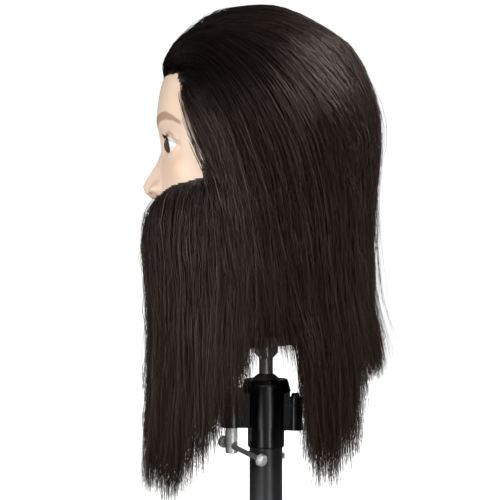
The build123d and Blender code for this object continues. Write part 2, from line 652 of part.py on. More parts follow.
with BuildPart() as moustache:
    with BuildSketch(level(MOUSTACHE_Z)):
        with Locations((0, BEARD_Y)):
            Ellipse(BEARD_RX - SHEET, BEARD_RY - MOUSTACHE_OUT)
        with Locations((0, BEARD_Y + 2)):
            Ellipse(
                BEARD_RX - SHEET - MOUSTACHE_T / 2, BEARD_RY - MOUSTACHE_OUT - MOUSTACHE_T, mode=Mode.SUBTRACT
            )
        with Locations((0, BEARD_Y - BEARD_RY)):
            Rectangle(2 * (SHEET_SPLIT_X - GAP), BEARD_RY, mode=Mode.INTERSECT)
    extrude(amount=MOUSTACHE_H)

# ---------------------------------------------------------------- output
nodes = {
    "pole_bush": pole_bush,
    "pole_tube": pole_tube,
    "cross_rivet": cross_rivet,
    "socket_body": socket_body,
    "lower_seat": lower_seat,
    "upper_seat": upper_seat,
    "socket_cap": socket_cap,
    "cap_bolt": cap_bolt,
    "cap_washer": cap_washer,
    "cap_nut": cap_nut,
    "clamp_nut": clamp_nut,
    "thrust_washer": thrust_washer,
    "clamp_screw": clamp_screw,
    "tommy_bar": tommy_bar,
    "bar_cap_near": bar_cap_near,
    "bar_cap_far": bar_cap_far,
    "ball": ball,
    "tie_bolt": tie_bolt,
    "tie_nut": tie_nut,
    "peg": peg,
    "neck_socket": neck_socket,
    "head_shell": head_shell,
    "eye_left": eye_left,
    "eye_right": eye_right,
    "lashes_left": lashes_left,
    "lashes_right": lashes_right,
    "hair_cap": hair_cap,
    "hair_back": hair_back,
    "hair_back_left": hair_back_left,
    "hair_back_right": hair_back_right,
    "hair_side_left": hair_side_left,
    "hair_side_right": hair_side_right,
    "moustache": moustache,
    "beard_front": beard_front,
    "beard_left": beard_left,
    "beard_right": beard_right,
}
for name, node in nodes.items():
    node.part.label = name
    export_step(node.part, f"parts/{name}.step")
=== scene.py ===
import math

import bpy
import numpy as np
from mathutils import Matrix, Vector


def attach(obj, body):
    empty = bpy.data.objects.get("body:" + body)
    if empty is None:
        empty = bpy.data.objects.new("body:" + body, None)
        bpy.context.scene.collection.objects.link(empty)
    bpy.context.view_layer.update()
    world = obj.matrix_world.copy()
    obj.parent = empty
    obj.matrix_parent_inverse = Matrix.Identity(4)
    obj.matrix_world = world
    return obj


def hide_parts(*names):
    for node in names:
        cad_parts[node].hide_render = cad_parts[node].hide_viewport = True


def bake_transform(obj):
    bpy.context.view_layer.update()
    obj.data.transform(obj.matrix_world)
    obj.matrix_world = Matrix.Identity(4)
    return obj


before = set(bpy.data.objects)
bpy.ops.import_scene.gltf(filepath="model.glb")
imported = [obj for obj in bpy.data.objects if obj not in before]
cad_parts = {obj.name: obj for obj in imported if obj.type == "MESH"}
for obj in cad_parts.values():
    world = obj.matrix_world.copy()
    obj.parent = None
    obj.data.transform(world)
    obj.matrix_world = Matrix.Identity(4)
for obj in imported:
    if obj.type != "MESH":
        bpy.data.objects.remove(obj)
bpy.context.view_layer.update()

MM = 0.001  # the head and the hair are worked out in millimetres, as the CAD model is
ROUND = 6.28  # a full turn in radians, where waves need no more than that
rng = np.random.default_rng(20)

# -------------------- camera and studio, in metres
CAMERA_DISTANCE, CAMERA_Y, EYE_LEVEL = 1.2, -0.0144, 0.261  # the camera's place along X, Y and Z
SENSOR = 36.0
FRAME_WIDTH = 0.45  # what the frame takes in at the pole's distance
WORLD_STRENGTH = 0.12
SOFT_BOXES = [  # name, place, what it points at, size, watts
    ("strip_left", (1.42, -0.79, 0.3), (0, 0, 0.3), (0.34, 1.6), 6.6),
    ("strip_right", (1.46, 0.68, 0.3), (0, 0, 0.3), (0.26, 1.6), 12),
    ("top_back", (0.6, 0.8, 1.15), (0, 0.06, 0.42), (0.9, 0.6), 42),
    ("rim_back", (-0.9, 1.1, 0.7), (0, 0.04, 0.3), (0.8, 1.2), 14),
    ("rim_right", (-1.35, 0.45, 0.4), (0, 0, 0.3), (0.6, 1.2), 9),
    ("low_front", (1.4, 0.2, 0.27), (0, 0, 0.14), (0.08, 0.2), 1.2),
    ("face_fill", (0.8, -1.3, 0.35), (0, -0.08, 0.33), (0.9, 0.6), 15.5),
]
STAGE_CORNERS = 48
FLOOR_REACH, FLOOR_Z = 9.0, -0.0005
WALL_REACH, WALL_FOOT, WALL_TOP = 8.9, -0.5, 9.0
STAGE_GLOW = 0.93


def put(name, data):
    """A new object in the scene."""
    obj = bpy.data.objects.new(name, data)
    bpy.context.scene.collection.objects.link(obj)
    return obj


def make_camera():
    data = bpy.data.cameras.new("camera")
    data.sensor_width = SENSOR
    data.lens = SENSOR * CAMERA_DISTANCE / FRAME_WIDTH
    camera = put("camera", data)
    camera.location = (CAMERA_DISTANCE, CAMERA_Y, EYE_LEVEL)
    camera.rotation_euler = (math.radians(90), 0, math.radians(90))
    bpy.context.scene.camera = camera


def make_light(name, place, aim, size, watts):
    data = bpy.data.lights.new(name, "AREA")
    data.energy = watts
    data.shape = "RECTANGLE"
    data.size, data.size_y = size
    light = put(name, data)
    light.location = place
    light.rotation_euler = (Vector(aim) - Vector(place)).to_track_quat("-Z", "Y").to_euler()


def stage_circle(reach, height):
    turns = [2 * math.pi * i / STAGE_CORNERS for i in range(STAGE_CORNERS)]
    return [(reach * math.cos(t), reach * math.sin(t), height) for t in turns]


def pale_material(name):
    m = Nodes(name)
    m.set(Base_Color=(0.8, 0.8, 0.8, 1), Roughness=0.95, Specular_IOR_Level=0.0)
    m.set(Emission_Color=(1, 1, 1, 1), Emission_Strength=STAGE_GLOW)
    return m.material


def make_stage():
    """Pale floor, and an upright wall round it far outside the lights. They light nothing themselves."""
    n = STAGE_CORNERS
    floor = stage_circle(FLOOR_REACH, FLOOR_Z)
    wall = stage_circle(WALL_REACH, WALL_FOOT) + stage_circle(WALL_REACH, WALL_TOP)
    around = [[i, (i + 1) % n, (i + 1) % n + n, i + n] for i in range(n)]
    for name, points, faces in (("floor", floor, [list(range(n))]), ("surround", wall, around)):
        mesh = bpy.data.meshes.new(name)
        mesh.from_pydata(points, [], faces)
        mesh.materials.append(pale_material(name))
        piece = put(name, mesh)
        piece.visible_diffuse = piece.visible_glossy = False


def make_studio():
    scene = bpy.context.scene
    scene.view_settings.view_transform = "Standard"
    world = bpy.data.worlds.new("studio")
    world.use_nodes = True
    background = world.node_tree.nodes["Background"].inputs
    background["Color"].default_value = (1, 1, 1, 1)
    background["Strength"].default_value = WORLD_STRENGTH
    scene.world = world
    for box in SOFT_BOXES:
        make_light(*box)
    make_stage()


# -------------------- node helpers
class Nodes:
    """A material being made: keeps its tree short to write."""

    def __init__(self, name):
        self.material = bpy.data.materials.new(name)
        self.material.use_nodes = True
        self.tree = self.material.node_tree
        self.shader = self.tree.nodes["Principled BSDF"]

    def add(self, kind, **settings):
        node = self.tree.nodes.new(kind)
        for key, value in settings.items():
            setattr(node, key, value)
        return node

    def link(self, source, target):
        self.tree.links.new(source, target)

    def set(self, **values):
        for key, value in values.items():
            self.shader.inputs[key.replace("_", " ")].default_value = value

    def noise(self, scale, detail=3.0, stretch=(1, 1, 1), rough=0.5):
        place = self.add("ShaderNodeTexCoord")
        mapping = self.add("ShaderNodeMapping")
        mapping.inputs["Scale"].default_value = stretch
        self.link(place.outputs["Object"], mapping.inputs["Vector"])
        noise = self.add("ShaderNodeTexNoise")
        noise.inputs["Scale"].default_value = scale
        noise.inputs["Detail"].default_value = detail
        noise.inputs["Roughness"].default_value = rough
        self.link(mapping.outputs["Vector"], noise.inputs["Vector"])
        return noise.outputs["Fac"]

    def ramp(self, source, stops):
        ramp = self.add("ShaderNodeValToRGB")
        band = ramp.color_ramp
        while len(band.elements) < len(stops):
            band.elements.new(0.5)
        for element, (place, colour) in zip(band.elements, stops):
            element.position = place
            element.color = (*colour, 1)
        self.link(source, ramp.inputs["Fac"])
        return ramp.outputs["Color"]

    def span(self, source, low, high):
        node = self.add("ShaderNodeMapRange")
        node.inputs["To Min"].default_value = low
        node.inputs["To Max"].default_value = high
        self.link(source, node.inputs["Value"])
        return node.outputs["Result"]

    def bump(self, source, strength, distance):
        node = self.add("ShaderNodeBump")
        node.inputs["Strength"].default_value = strength
        node.inputs["Distance"].default_value = distance
        self.link(source, node.inputs["Height"])
        self.link(node.outputs["Normal"], self.shader.inputs["Normal"])


def moulded(name, dark, light, rough, grain=900.0, bump=0.15, metal=0.0):
    """Plastic, paint or metal: cloudy colour, and a fine grain in its gloss and surface."""
    m = Nodes(name)
    noise = m.noise(grain, 4)
    cloud = m.noise(60, 3)
    m.link(m.ramp(cloud, [(0.35, dark), (0.7, light)]), m.shader.inputs["Base Color"])
    m.link(m.span(noise, *rough), m.shader.inputs["Roughness"])
    m.set(Metallic=metal)
    m.bump(noise, bump, 0.1 * MM)
    return m.material


CAD_LOOKS = [  # material, its dark and light colours, its roughness, other settings, and the nodes it is on
    ("socket_plastic", (0.006, 0.006, 0.0065), (0.01, 0.01, 0.011), (0.2, 0.3), {"bump": 0.05},
     "socket_body socket_cap"),
    ("pole_paint", (0.02, 0.02, 0.022), (0.03, 0.03, 0.033), (0.34, 0.46), {"grain": 1500}, "pole_tube"),
    ("bush_plastic", (0.03, 0.03, 0.032), (0.05, 0.05, 0.052), (0.5, 0.6), {}, "pole_bush"),
    ("seat_nylon", (0.62, 0.6, 0.54), (0.72, 0.7, 0.64), (0.45, 0.55), {}, "lower_seat upper_seat"),
    ("ball_plastic", (0.11, 0.1, 0.1), (0.15, 0.14, 0.14), (0.42, 0.55), {"bump": 0.25}, "ball"),
    ("peg_metal", (0.5, 0.47, 0.46), (0.62, 0.59, 0.57), (0.22, 0.32), {"bump": 0.2, "metal": 0.3}, "peg"),
    ("neck_plastic", (0.12, 0.105, 0.1), (0.2, 0.175, 0.165), (0.3, 0.42), {"bump": 0.3}, "neck_socket"),
    ("zinc", (0.5, 0.5, 0.48), (0.62, 0.62, 0.6), (0.25, 0.4), {"metal": 1.0},
     "cap_nut clamp_nut thrust_washer tie_bolt tie_nut"),
    ("chrome", (0.8, 0.8, 0.79), (0.9, 0.9, 0.89), (0.22, 0.34), {"metal": 0.25, "bump": 0.08},
     "cross_rivet clamp_screw bar_cap_near bar_cap_far"),
    ("bar_steel", (0.38, 0.38, 0.38), (0.5, 0.5, 0.5), (0.25, 0.4), {"metal": 0.5}, "tommy_bar"),
    ("black_oxide", (0.02, 0.02, 0.021), (0.04, 0.04, 0.042), (0.2, 0.32), {"metal": 0.6},
     "cap_bolt cap_washer"),
]


def paint_cad():
    """Materials of the CAD nodes that stay as they are."""
    for name, dark, light, rough, settings, nodes in CAD_LOOKS:
        material = moulded(name, dark, light, rough, **settings)
        for node in nodes.split():
            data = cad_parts[node].data
            data.materials.clear()
            data.materials.append(material)


# -------------------- meshes
def build_mesh(name, points, polygons, material):
    """Mesh object from points in millimetres and a list of index arrays, each (count, corners)."""
    mesh = bpy.data.meshes.new(name)
    points = np.asarray(points, float)
    mesh.vertices.add(len(points))
    mesh.vertices.foreach_set("co", (points * MM).astype(np.float32).ravel())
    corners = np.concatenate([np.asarray(p).ravel() for p in polygons]).astype(np.int32)
    sizes = np.concatenate([np.full(len(p), np.asarray(p).shape[1]) for p in polygons]).astype(np.int32)
    mesh.loops.add(len(corners))
    mesh.loops.foreach_set("vertex_index", corners)
    mesh.polygons.add(len(sizes))
    mesh.polygons.foreach_set("loop_start", np.concatenate([[0], np.cumsum(sizes)[:-1]]).astype(np.int32))
    mesh.polygons.foreach_set("use_smooth", np.full(len(sizes), True))
    mesh.update(calc_edges=True)
    mesh.materials.append(material)
    return put(name, mesh)


def smoothstep(low, high, value):
    t = np.clip((value - low) / (high - low), 0, 1)
    return t * t * (3 - 2 * t)


def read(table, at):
    """Values at some places from a table of (place, value) pairs, in line between them."""
    return np.interp(at, *np.array(table).T)


def bell(distance, width):
    return np.exp(-((distance / width) ** 2))


def unit(vectors):
    return vectors / (np.linalg.norm(vectors, axis=-1, keepdims=True) + 1e-9)


# -------------------- head, in mm
HEAD_COLUMNS, HEAD_ROWS = 300, 318
# Rings from the crown to the neck's base: front point (y, z), back point (y, z), half width.
RINGS = [
    (-2, 472, -1, 472, 0.5),
    (-24, 470, 17, 470, 19),
    (-46, 463.5, 37, 463.5, 37),
    (-63, 454, 55, 454, 50),
    (-77, 441, 71, 441, 60.5),
    (-87.5, 424, 82, 424, 68),
    (-94.5, 406, 88, 406, 73),
    (-97.6, 386, 90, 388, 75),
    (-97.4, 372, 90, 373, 75.5),
    (-95.0, 356, 88, 359, 74.5),
    (-94.0, 341, 84.5, 347, 73),
    (-94.5, 326, 79, 335, 71),
    (-95.0, 311, 74, 323, 68.5),
    (-94.5, 297, 68, 311, 66),
    (-93, 281, 62, 299, 62),
    (-90, 266, 58, 287, 58),
    (-83, 253, 55, 275, 55),
    (-66, 245, 53.5, 262, 52),
    (-52, 236, 52.5, 250, 50.5),
    (-46, 218, 52, 230, 50),
    (-46, 198, 51, 208, 50),
    (-46, 181.3, 50, 189.4, 50),
]
COLUMN_CROWDING = 0.52  # how far the columns gather towards the face
SQUARENESS, NARROWING = 0.035, 0.05  # of the rings against an ellipse, the second at their front
FACE_Z, FACE_REACH = 340, 45  # the rows are densest within this reach of this height
# The nose's line at x 0, from the lip to the brow: height, y. Then its width on the same way.
NOSE_LINE = [
    (303, -95), (306, -97.5), (309, -103.5), (312.5, -108.5), (317, -110.6), (321.5, -109),
    (329, -104.4), (338, -98.8), (349, -94), (358.6, -95), (373, -97),
]
NOSE_WIDTH = [(303, 12), (308, 14), (315, 16), (321, 15.5), (329, 13), (338, 10.5), (349, 9), (373, 10)]
# Soft forms that push the surface: centre, size and push. One off the middle is there on both sides.
FACE_FORMS = [
    ((22, -92, 374), (16, 16, 7), (0, -1.6, 0)),  # brow
    ((15.5, -88, 355), (7, 14, 11), (0, 5.5, 0)),  # inner corner of the eye
    ((34, -84, 366), (15, 14, 6), (0, 3.0, 0)),  # hollow over the eye
    ((42, -75, 345), (12, 14, 7), (0.5, 2.0, 0)),  # hollow under the eye
    ((44, -72, 331), (15, 16, 12), (1.2, -3.0, 0)),  # cheekbone
    ((0, -95, 293), (20, 12, 9), (0, -3.0, 0)),  # lips
    ((0, -93, 286), (14, 12, 4), (0, 2.5, 0)),  # hollow under them
    ((0, -90, 268), (16, 14, 12), (0, -4.0, 0)),  # chin
    ((64, -50, 352), (10, 22, 16), (-2.5, 0, 0)),  # temple
]
NOSE_FORMS = [
    ((11.5, -97, 315.5), (5.0, 9, 5.5), (1.6, -6.0, -0.6)),  # wing
    ((5.5, -101, 308.5), (3.2, 5.5, 2.6), (0, 0.5, 4.2)),  # nostril
    ((0, -103, 309), (3.0, 8, 3.0), (0, 0, -1.6)),  # wall between the nostrils
    ((17.5, -93, 313), (2.6, 7, 7), (0, 1.6, 0)),  # crease beside the wing
]

EYE_CENTRE = np.array([31.0, -76.5, 353.8])
EYE_R = 12.5
EYE_INNER, EYE_OUTER = (18.2, 350.8), (45.4, 353.0)  # corners of the lids: x, z
LID_UP, LID_DOWN = 9.4, 5.8  # the lids' rise and fall from the line between the corners
LID_T, LID_SOFT = 1.5, 0.8  # how far the lids stand off the eyeball, and how softly they rise to it
LID_FADE = (23, 16)  # distances from the eye's axis where the lids end and where they are whole
CREASE_UP, CREASE_SIZE = 3.4, 1.3  # over the upper lid's edge: height, depth and half width
EYE_DIVE = 2.5  # how far behind the eyeball's face the skin dives between the lids
EYE_TURN, EYE_DROOP = 9.0, 10.0  # degrees each eye looks outwards and down
SKIN_T, NECK_R, NECK_LIP = 4, 50, 22  # skin's thickness, neck's radius, depth of its inner lip


def spread(rows, count, keep):
    """Rows of numbers read at count places along a Catmull-Rom curve, denser where keep(z) is larger."""
    rows = np.array(rows, float)
    fine = np.linspace(0, len(rows) - 1, 4000)
    i = np.clip(fine.astype(int), 0, len(rows) - 2)
    u = (fine - i)[:, None]
    p0, p1 = rows[np.maximum(i - 1, 0)], rows[i]
    p2, p3 = rows[i + 1], rows[np.minimum(i + 2, len(rows) - 1)]
    square, cube = 2 * p0 - 5 * p1 + 4 * p2 - p3, 3 * p1 - p0 - 3 * p2 + p3
    curve = 0.5 * (2 * p1 + (p2 - p0) * u + square * u**2 + cube * u**3)
    step = np.linalg.norm(np.diff(curve[:, :2], axis=0), axis=1) * keep(curve[1:, 1])
    along = np.concatenate([[0], np.cumsum(step)])
    at = np.interp(np.linspace(0, along[-1], count), along, np.arange(len(curve)))
    return np.stack([np.interp(at, np.arange(len(curve)), curve[:, k]) for k in range(rows.shape[1])], 1)


def lid_gap(x, z):
    """How far a point is inside the almond between the lids, the upper lid's height, and the way across."""
    u = (x - EYE_INNER[0]) / (EYE_OUTER[0] - EYE_INNER[0])
    line = EYE_INNER[1] + (EYE_OUTER[1] - EYE_INNER[1]) * u
    arch = np.clip(4 * u * (1 - u), 0, None)
    skew = 1 + 0.25 * (0.5 - u)
    up = line + LID_UP * arch**0.9 * skew
    down = line - LID_DOWN * arch / skew
    beyond = np.maximum(-u, u - 1) * (EYE_OUTER[0] - EYE_INNER[0])
    gap = np.minimum(up - z, z - down)
    return np.where(beyond > 0, np.minimum(gap, -beyond), gap), up, u


def head_surface(columns, rows):
    """Points of the head, (rows, columns, 3), column 0 at the back."""

    def keep(z):
        return 1 + 1.5 * np.exp(-(((z - FACE_Z) / FACE_REACH) ** 4))

    rings = spread(RINGS, rows, keep)
    s = np.linspace(-math.pi, math.pi, columns, endpoint=False)
    phi = s - COLUMN_CROWDING * np.sin(s)
    front, back, half = rings[:, 0:2], rings[:, 2:4], rings[:, 4]
    middle, radius = (front + back) / 2, (back - front) / 2
    # the rings are widest behind their middle and a little squarer than ellipses
    c, sn = np.cos(phi), np.sin(phi)
    square = 1 + SQUARENESS * np.sin(2 * phi) ** 2
    x = half[:, None] * (sn * square * (1 - NARROWING * c))[None, :]
    forward = (c * square)[None, :]
    y = middle[:, 0:1] - radius[:, 0:1] * forward
    z = middle[:, 1:2] - radius[:, 1:2] * forward
    points = np.stack([x, y, z], -1)
    return shape_face(points)


def swell(points, centre, size, push):
    """Moves points near a centre by push, fading out over size."""
    for side in (1, -1) if centre[0] else (1,):
        c = np.array(centre) * (side, 1, 1)
        w = np.exp(-(((points - c) / np.array(size)) ** 2).sum(-1))[..., None]
        points = points + w * np.array(push) * (side, 1, 1)
    return points


def shape_face(points):
    """The plain head with its brow, cheeks, nose, lips, chin and lids."""
    front = points[..., 1] < 0
    plain_z = points[..., 2].copy()
    for form in FACE_FORMS:
        points = swell(points, *form)
    points = shape_nose(points, plain_z, front)
    for form in NOSE_FORMS:
        points = swell(points, *form)
    for side in (1, -1):
        points = wrap_eye(points, side, front)
    return points


def shape_nose(points, z, front):
    """Draws the middle of the face out to the nose's line."""
    x = np.abs(points[..., 0])
    ridge = points[:, points.shape[1] // 2, :]  # the column at the front
    at_front = np.interp(z, ridge[::-1, 2], ridge[::-1, 1])
    inside = (z < NOSE_LINE[-1][0]) & (z > NOSE_LINE[0][0])
    reach = np.where(inside, at_front - read(NOSE_LINE, z), 0)
    profile = np.exp(-((x / (read(NOSE_WIDTH, z) * 0.52)) ** 2) * 0.9)
    points[..., 1] -= np.where(front, reach * profile, 0)
    return points


def wrap_eye(points, side, front):
    """The lids wrap the eyeball, and between the lids the skin dives behind it."""
    centre = EYE_CENTRE * (side, 1, 1)
    offset = points - centre
    distance = np.linalg.norm(offset, axis=-1)
    gap, up, u = lid_gap(points[..., 0] * side, points[..., 2])
    near = front & (distance < 24) & (points[..., 1] < centre[1] + 2)
    shell = EYE_R + LID_T
    lift = np.log1p(np.exp(np.clip((shell - distance) / LID_SOFT, -30, 30))) * LID_SOFT
    lift = lift * smoothstep(*LID_FADE, np.hypot(offset[..., 0], offset[..., 2]))
    lift -= smoothstep(-9, -1, gap) * 0.9 * np.clip(distance - shell, 0, None)
    crease = CREASE_SIZE * bell(points[..., 2] - up - CREASE_UP, CREASE_SIZE)
    crease = crease * smoothstep(-0.05, 0.2, u) * smoothstep(1.1, 0.8, u)
    dive = smoothstep(-0.5, 0.7, gap)
    new = (distance + lift - crease) * (1 - dive) + (EYE_R - EYE_DIVE) * dive
    new = np.where(near, new, distance)
    return centre + offset * (new / distance)[..., None]


head_grid = head_surface(HEAD_COLUMNS, HEAD_ROWS)


def grid_quads(rows, columns):
    """Quads of a grid of points whose last column meets its first."""
    r, c = np.meshgrid(np.arange(rows - 1), np.arange(columns), indexing="ij")
    n = (c + 1) % columns
    a, b = r * columns, (r + 1) * columns
    return np.stack([a + c, b + c, b + n, a + n], -1).reshape(-1, 4)


def colour_layer(obj, name, colours):
    layer = obj.data.color_attributes.new(name, "FLOAT_COLOR", "POINT")
    full = np.ones((len(colours), 4), np.float32)
    full[:, :3] = colours
    layer.data.foreach_set("color", full.ravel())


# of these colours, the nostrils' and the lid crease's are painted shade
SKIN, BLUSH, NOSTRIL_SHADE, LIPS = (0.86, 0.66, 0.52), (0.88, 0.55, 0.42), (0.6, 0.3, 0.2), (0.72, 0.33, 0.28)
BROW, LID_CREASE_SHADE = (0.38, 0.225, 0.12), (0.42, 0.25, 0.16)
UPPER_LID_LINE, LOWER_LID_LINE = (0.1, 0.055, 0.035), (0.42, 0.24, 0.18)
LID_SPLIT = 356  # height above which a lid line is the upper lid's
BROW_INNER, BROW_LENGTH = 12, 39
BROW_HEIGHTS = [(12, 374.5), (20, 375.8), (30, 378.3), (36, 378.6), (44, 376.0), (51, 371.0)]  # x, height
BROW_HALF = [(0, 3.4), (0.15, 4.0), (0.6, 3.4), (1, 1.6)]  # way along the brow, half its width


def skin_colours(points):
    """Skin with painted brows, lid lines, lips and a little warmth on nose and cheeks, and painted shade in
    the upper lids' creases and in the nostrils.
    """
    x, y, z = np.abs(points[:, 0]), points[:, 1], points[:, 2]
    colours = np.tile(SKIN, (len(points), 1))

    def mix(colour, amount):
        a = np.clip(amount, 0, 1)[:, None]
        colours[:] = colours * (1 - a) + np.array(colour) * a

    facing = y < -20
    mix(BLUSH, 0.3 * facing * bell(x - 44, 18) * bell(z - 332, 14))
    mix(BLUSH, 0.35 * facing * bell(x, 10) * bell(z - 317, 8))
    # painted shade in the nostrils, at the nose's base
    mix(NOSTRIL_SHADE, 0.35 * facing * bell(x, 12) * bell(z - 307.5, 3.2))
    mix(LIPS, 0.8 * facing * smoothstep(24, 18, x) * bell(z - 292, 5.5))
    # brows: a band that rises to its peak and falls to its tail
    u = (x - BROW_INNER) / BROW_LENGTH
    band = smoothstep(1.2, -0.6, np.abs(z - read(BROW_HEIGHTS, x)) - read(BROW_HALF, u))
    mix(BROW, 0.8 * facing * band * smoothstep(1.06, 0.97, u) * smoothstep(-0.03, 0.06, u))
    gap, up, u = lid_gap(x, z)
    lids = facing * smoothstep(-0.1, 0.05, u) * smoothstep(1.1, 0.95, u)
    # painted shade in the crease over the upper lid's edge
    mix(LID_CREASE_SHADE, 0.6 * lids * bell(z - up - 2.2, 1.8))
    mix(UPPER_LID_LINE, 0.9 * lids * smoothstep(-1.3, -0.1, gap) * (z > LID_SPLIT))
    mix(LOWER_LID_LINE, 0.75 * lids * smoothstep(-0.9, 0.0, gap) * (z <= LID_SPLIT))
    return colours


def skin_material():
    m = Nodes("skin_vinyl")
    paint = m.add("ShaderNodeVertexColor", layer_name="paint")
    mottle = m.noise(45, 4)
    fine = m.noise(900, 3)
    mixed = m.add("ShaderNodeMix", data_type="RGBA", blend_type="MULTIPLY")
    mixed.inputs["Factor"].default_value = 1.0
    m.link(paint.outputs["Color"], mixed.inputs[6])
    m.link(m.ramp(mottle, [(0.3, (0.94, 0.92, 0.9)), (0.75, (1, 1, 1))]), mixed.inputs[7])
    m.link(mixed.outputs[2], m.shader.inputs["Base Color"])
    m.link(m.span(fine, 0.36, 0.5), m.shader.inputs["Roughness"])
    m.set(Subsurface_Weight=0.08, Subsurface_Radius=(0.004, 0.002, 0.001), Specular_IOR_Level=0.4)
    m.bump(fine, 0.12, 0.15 * MM)
    return m.material


def make_head():
    points = head_grid.reshape(-1, 3)
    quads = grid_quads(HEAD_ROWS, HEAD_COLUMNS)
    # the neck's open lower end turns inwards by the skin's thickness
    last = head_grid[-1]
    inner = (last - last.mean(0)) * (1 - SKIN_T / NECK_R) + last.mean(0)
    deep = inner + (0, 0, NECK_LIP)
    everything = np.concatenate([points, inner, deep])
    start = (HEAD_ROWS - 1) * HEAD_COLUMNS
    lip = grid_quads(3, HEAD_COLUMNS) + start
    crown = np.arange(HEAD_COLUMNS)[::-1][None, :]
    skin = build_mesh("head_skin", everything, [quads, lip, crown], skin_material())
    colour_layer(skin, "paint", skin_colours(everything))
    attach(skin, "head")
    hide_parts("head_shell")


# -------------------- eyes
EYE_AROUND, EYE_DEEP = 64, 30  # points round the eyeball and from its front to its back
EYE_BACK = 1.75  # angle from the front, in radians, where the eyeball ends
CORNEA_RISE, CORNEA_ANGLE = 0.9, 0.5
EYE_RINGS = [  # distance from the eye's axis, in eyeball radii, and colour
    (0.0, (0.004, 0.004, 0.004)),
    (0.2, (0.006, 0.005, 0.005)),
    (0.25, (0.085, 0.06, 0.042)),
    (0.5, (0.065, 0.046, 0.034)),
    (0.62, (0.01, 0.009, 0.009)),
    (0.67, (0.85, 0.84, 0.83)),
    (1.0, (0.8, 0.76, 0.74)),
]


def eye_material():
    """Pupil, iris and white as rings about the eyeball's own axis."""
    m = Nodes("eye_acrylic")
    place = m.add("ShaderNodeTexCoord")
    parts = m.add("ShaderNodeSeparateXYZ")
    m.link(place.outputs["Object"], parts.inputs["Vector"])
    total = m.add("ShaderNodeMath", operation="ADD")
    for k, axis in enumerate("XZ"):
        square = m.add("ShaderNodeMath", operation="MULTIPLY")
        m.link(parts.outputs[axis], square.inputs[0])
        m.link(parts.outputs[axis], square.inputs[1])
        m.link(square.outputs[0], total.inputs[k])
    root = m.add("ShaderNodeMath", operation="SQRT")
    m.link(total.outputs[0], root.inputs[0])
    scaled = m.add("ShaderNodeMath", operation="MULTIPLY")
    scaled.inputs[1].default_value = 1 / (EYE_R * MM)
    m.link(root.outputs[0], scaled.inputs[0])
    m.link(m.ramp(scaled.outputs[0], EYE_RINGS), m.shader.inputs["Base Color"])
    m.set(Roughness=0.08, Coat_Weight=0.6, Coat_Roughness=0.03)
    return m.material


def make_eye(name, side, material):
    """Eyeball with a raised cornea, cut off flat at its back."""
    around, deep = EYE_AROUND, EYE_DEEP
    angle = np.linspace(0, 2 * math.pi, around, endpoint=False)
    fall = np.linspace(0.03, EYE_BACK, deep)
    radius = EYE_R + CORNEA_RISE * np.exp(-((fall / CORNEA_ANGLE) ** 4))
    ring = np.stack([np.cos(angle), np.zeros(around), np.sin(angle)], -1)
    out = ring[None] * (radius * np.sin(fall))[:, None, None]
    points = out + np.array([0, -1, 0]) * (radius * np.cos(fall))[:, None, None]
    quads = grid_quads(deep, around)
    cap = np.arange(around)[None, :]
    back = (np.arange(around) + (deep - 1) * around)[::-1][None, :]
    eye = build_mesh(name + "_ball", points.reshape(-1, 3), [quads[:, ::-1], cap, back], material)
    eye.location = Vector(EYE_CENTRE * (side, 1, 1)) * MM
    eye.rotation_euler = (math.radians(EYE_DROOP), 0, math.radians(EYE_TURN * side))
    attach(eye, "head")
    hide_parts(name)


# -------------------- strands
STRAND_ROWS, STRAND_SIDES = 24, 3
STRAND_BREADTH, STRAND_DEPTH = 1.25, 0.8  # of a strand's section, in radii
MIDDLE = np.array([0, -5, 340.0])  # of the head
CROWN_Z, CROWN_BLEND = 430, 40  # outwards turns upwards from this height, over this much
UV_INSET, UV_USE = 0.12, 0.76  # margin and size of a strand's part of its cell in the UV layer
MOST_FACES = 190000  # triangles in one piece


def tubes(name, paths, radii, shades, material):
    """Closed three-sided hairs: paths (n, rows, 3), radii (n, rows), shades (n,)."""
    n, rows = paths.shape[:2]
    along = unit(np.gradient(paths, axis=1))
    outward = paths.mean(1) - MIDDLE * (1, 1, 0)
    outward[:, 2] = 0.001
    outward = np.repeat((outward / np.linalg.norm(outward, axis=-1, keepdims=True))[:, None], rows, 1)
    up = np.clip((paths[..., 2:3] - CROWN_Z) / CROWN_BLEND, 0, 1)
    outward = outward * (1 - up) + np.array([0, 0, 1.0]) * up
    side = unit(np.cross(along, outward))
    lift = np.cross(side, along)
    ring = []
    for k in range(STRAND_SIDES):
        a = 2 * math.pi * k / STRAND_SIDES + math.pi / 2
        aside = side * (math.cos(a) * STRAND_BREADTH * radii)[..., None]
        ring.append(paths + aside + lift * (math.sin(a) * STRAND_DEPTH * radii)[..., None])
    points = np.stack(ring, 2).reshape(-1, 3)
    first = np.arange(n)[:, None, None] * rows * STRAND_SIDES
    row = first + np.arange(rows - 1)[None, :, None] * STRAND_SIDES
    k = np.arange(STRAND_SIDES)[None, None, :]
    k2, after = (k + 1) % STRAND_SIDES, row + STRAND_SIDES
    quads = np.stack([row + k, row + k2, after + k2, after + k], -1).reshape(-1, 4)
    root_caps = first[:, 0] + np.arange(STRAND_SIDES)[::-1]
    tip_caps = first[:, 0] + (rows - 1) * STRAND_SIDES + np.arange(STRAND_SIDES)
    obj = build_mesh(name, points, [quads, root_caps, tip_caps], material)
    reach = np.tile(np.repeat(np.linspace(0, 1, rows), STRAND_SIDES), n)
    for layer, values in (("shade", np.repeat(shades, rows * STRAND_SIDES)), ("reach", reach)):
        made = obj.data.attributes.new(layer, "FLOAT", "POINT")
        made.data.foreach_set("value", values.astype(np.float32))
    lay_out(obj, n, rows)
    return obj


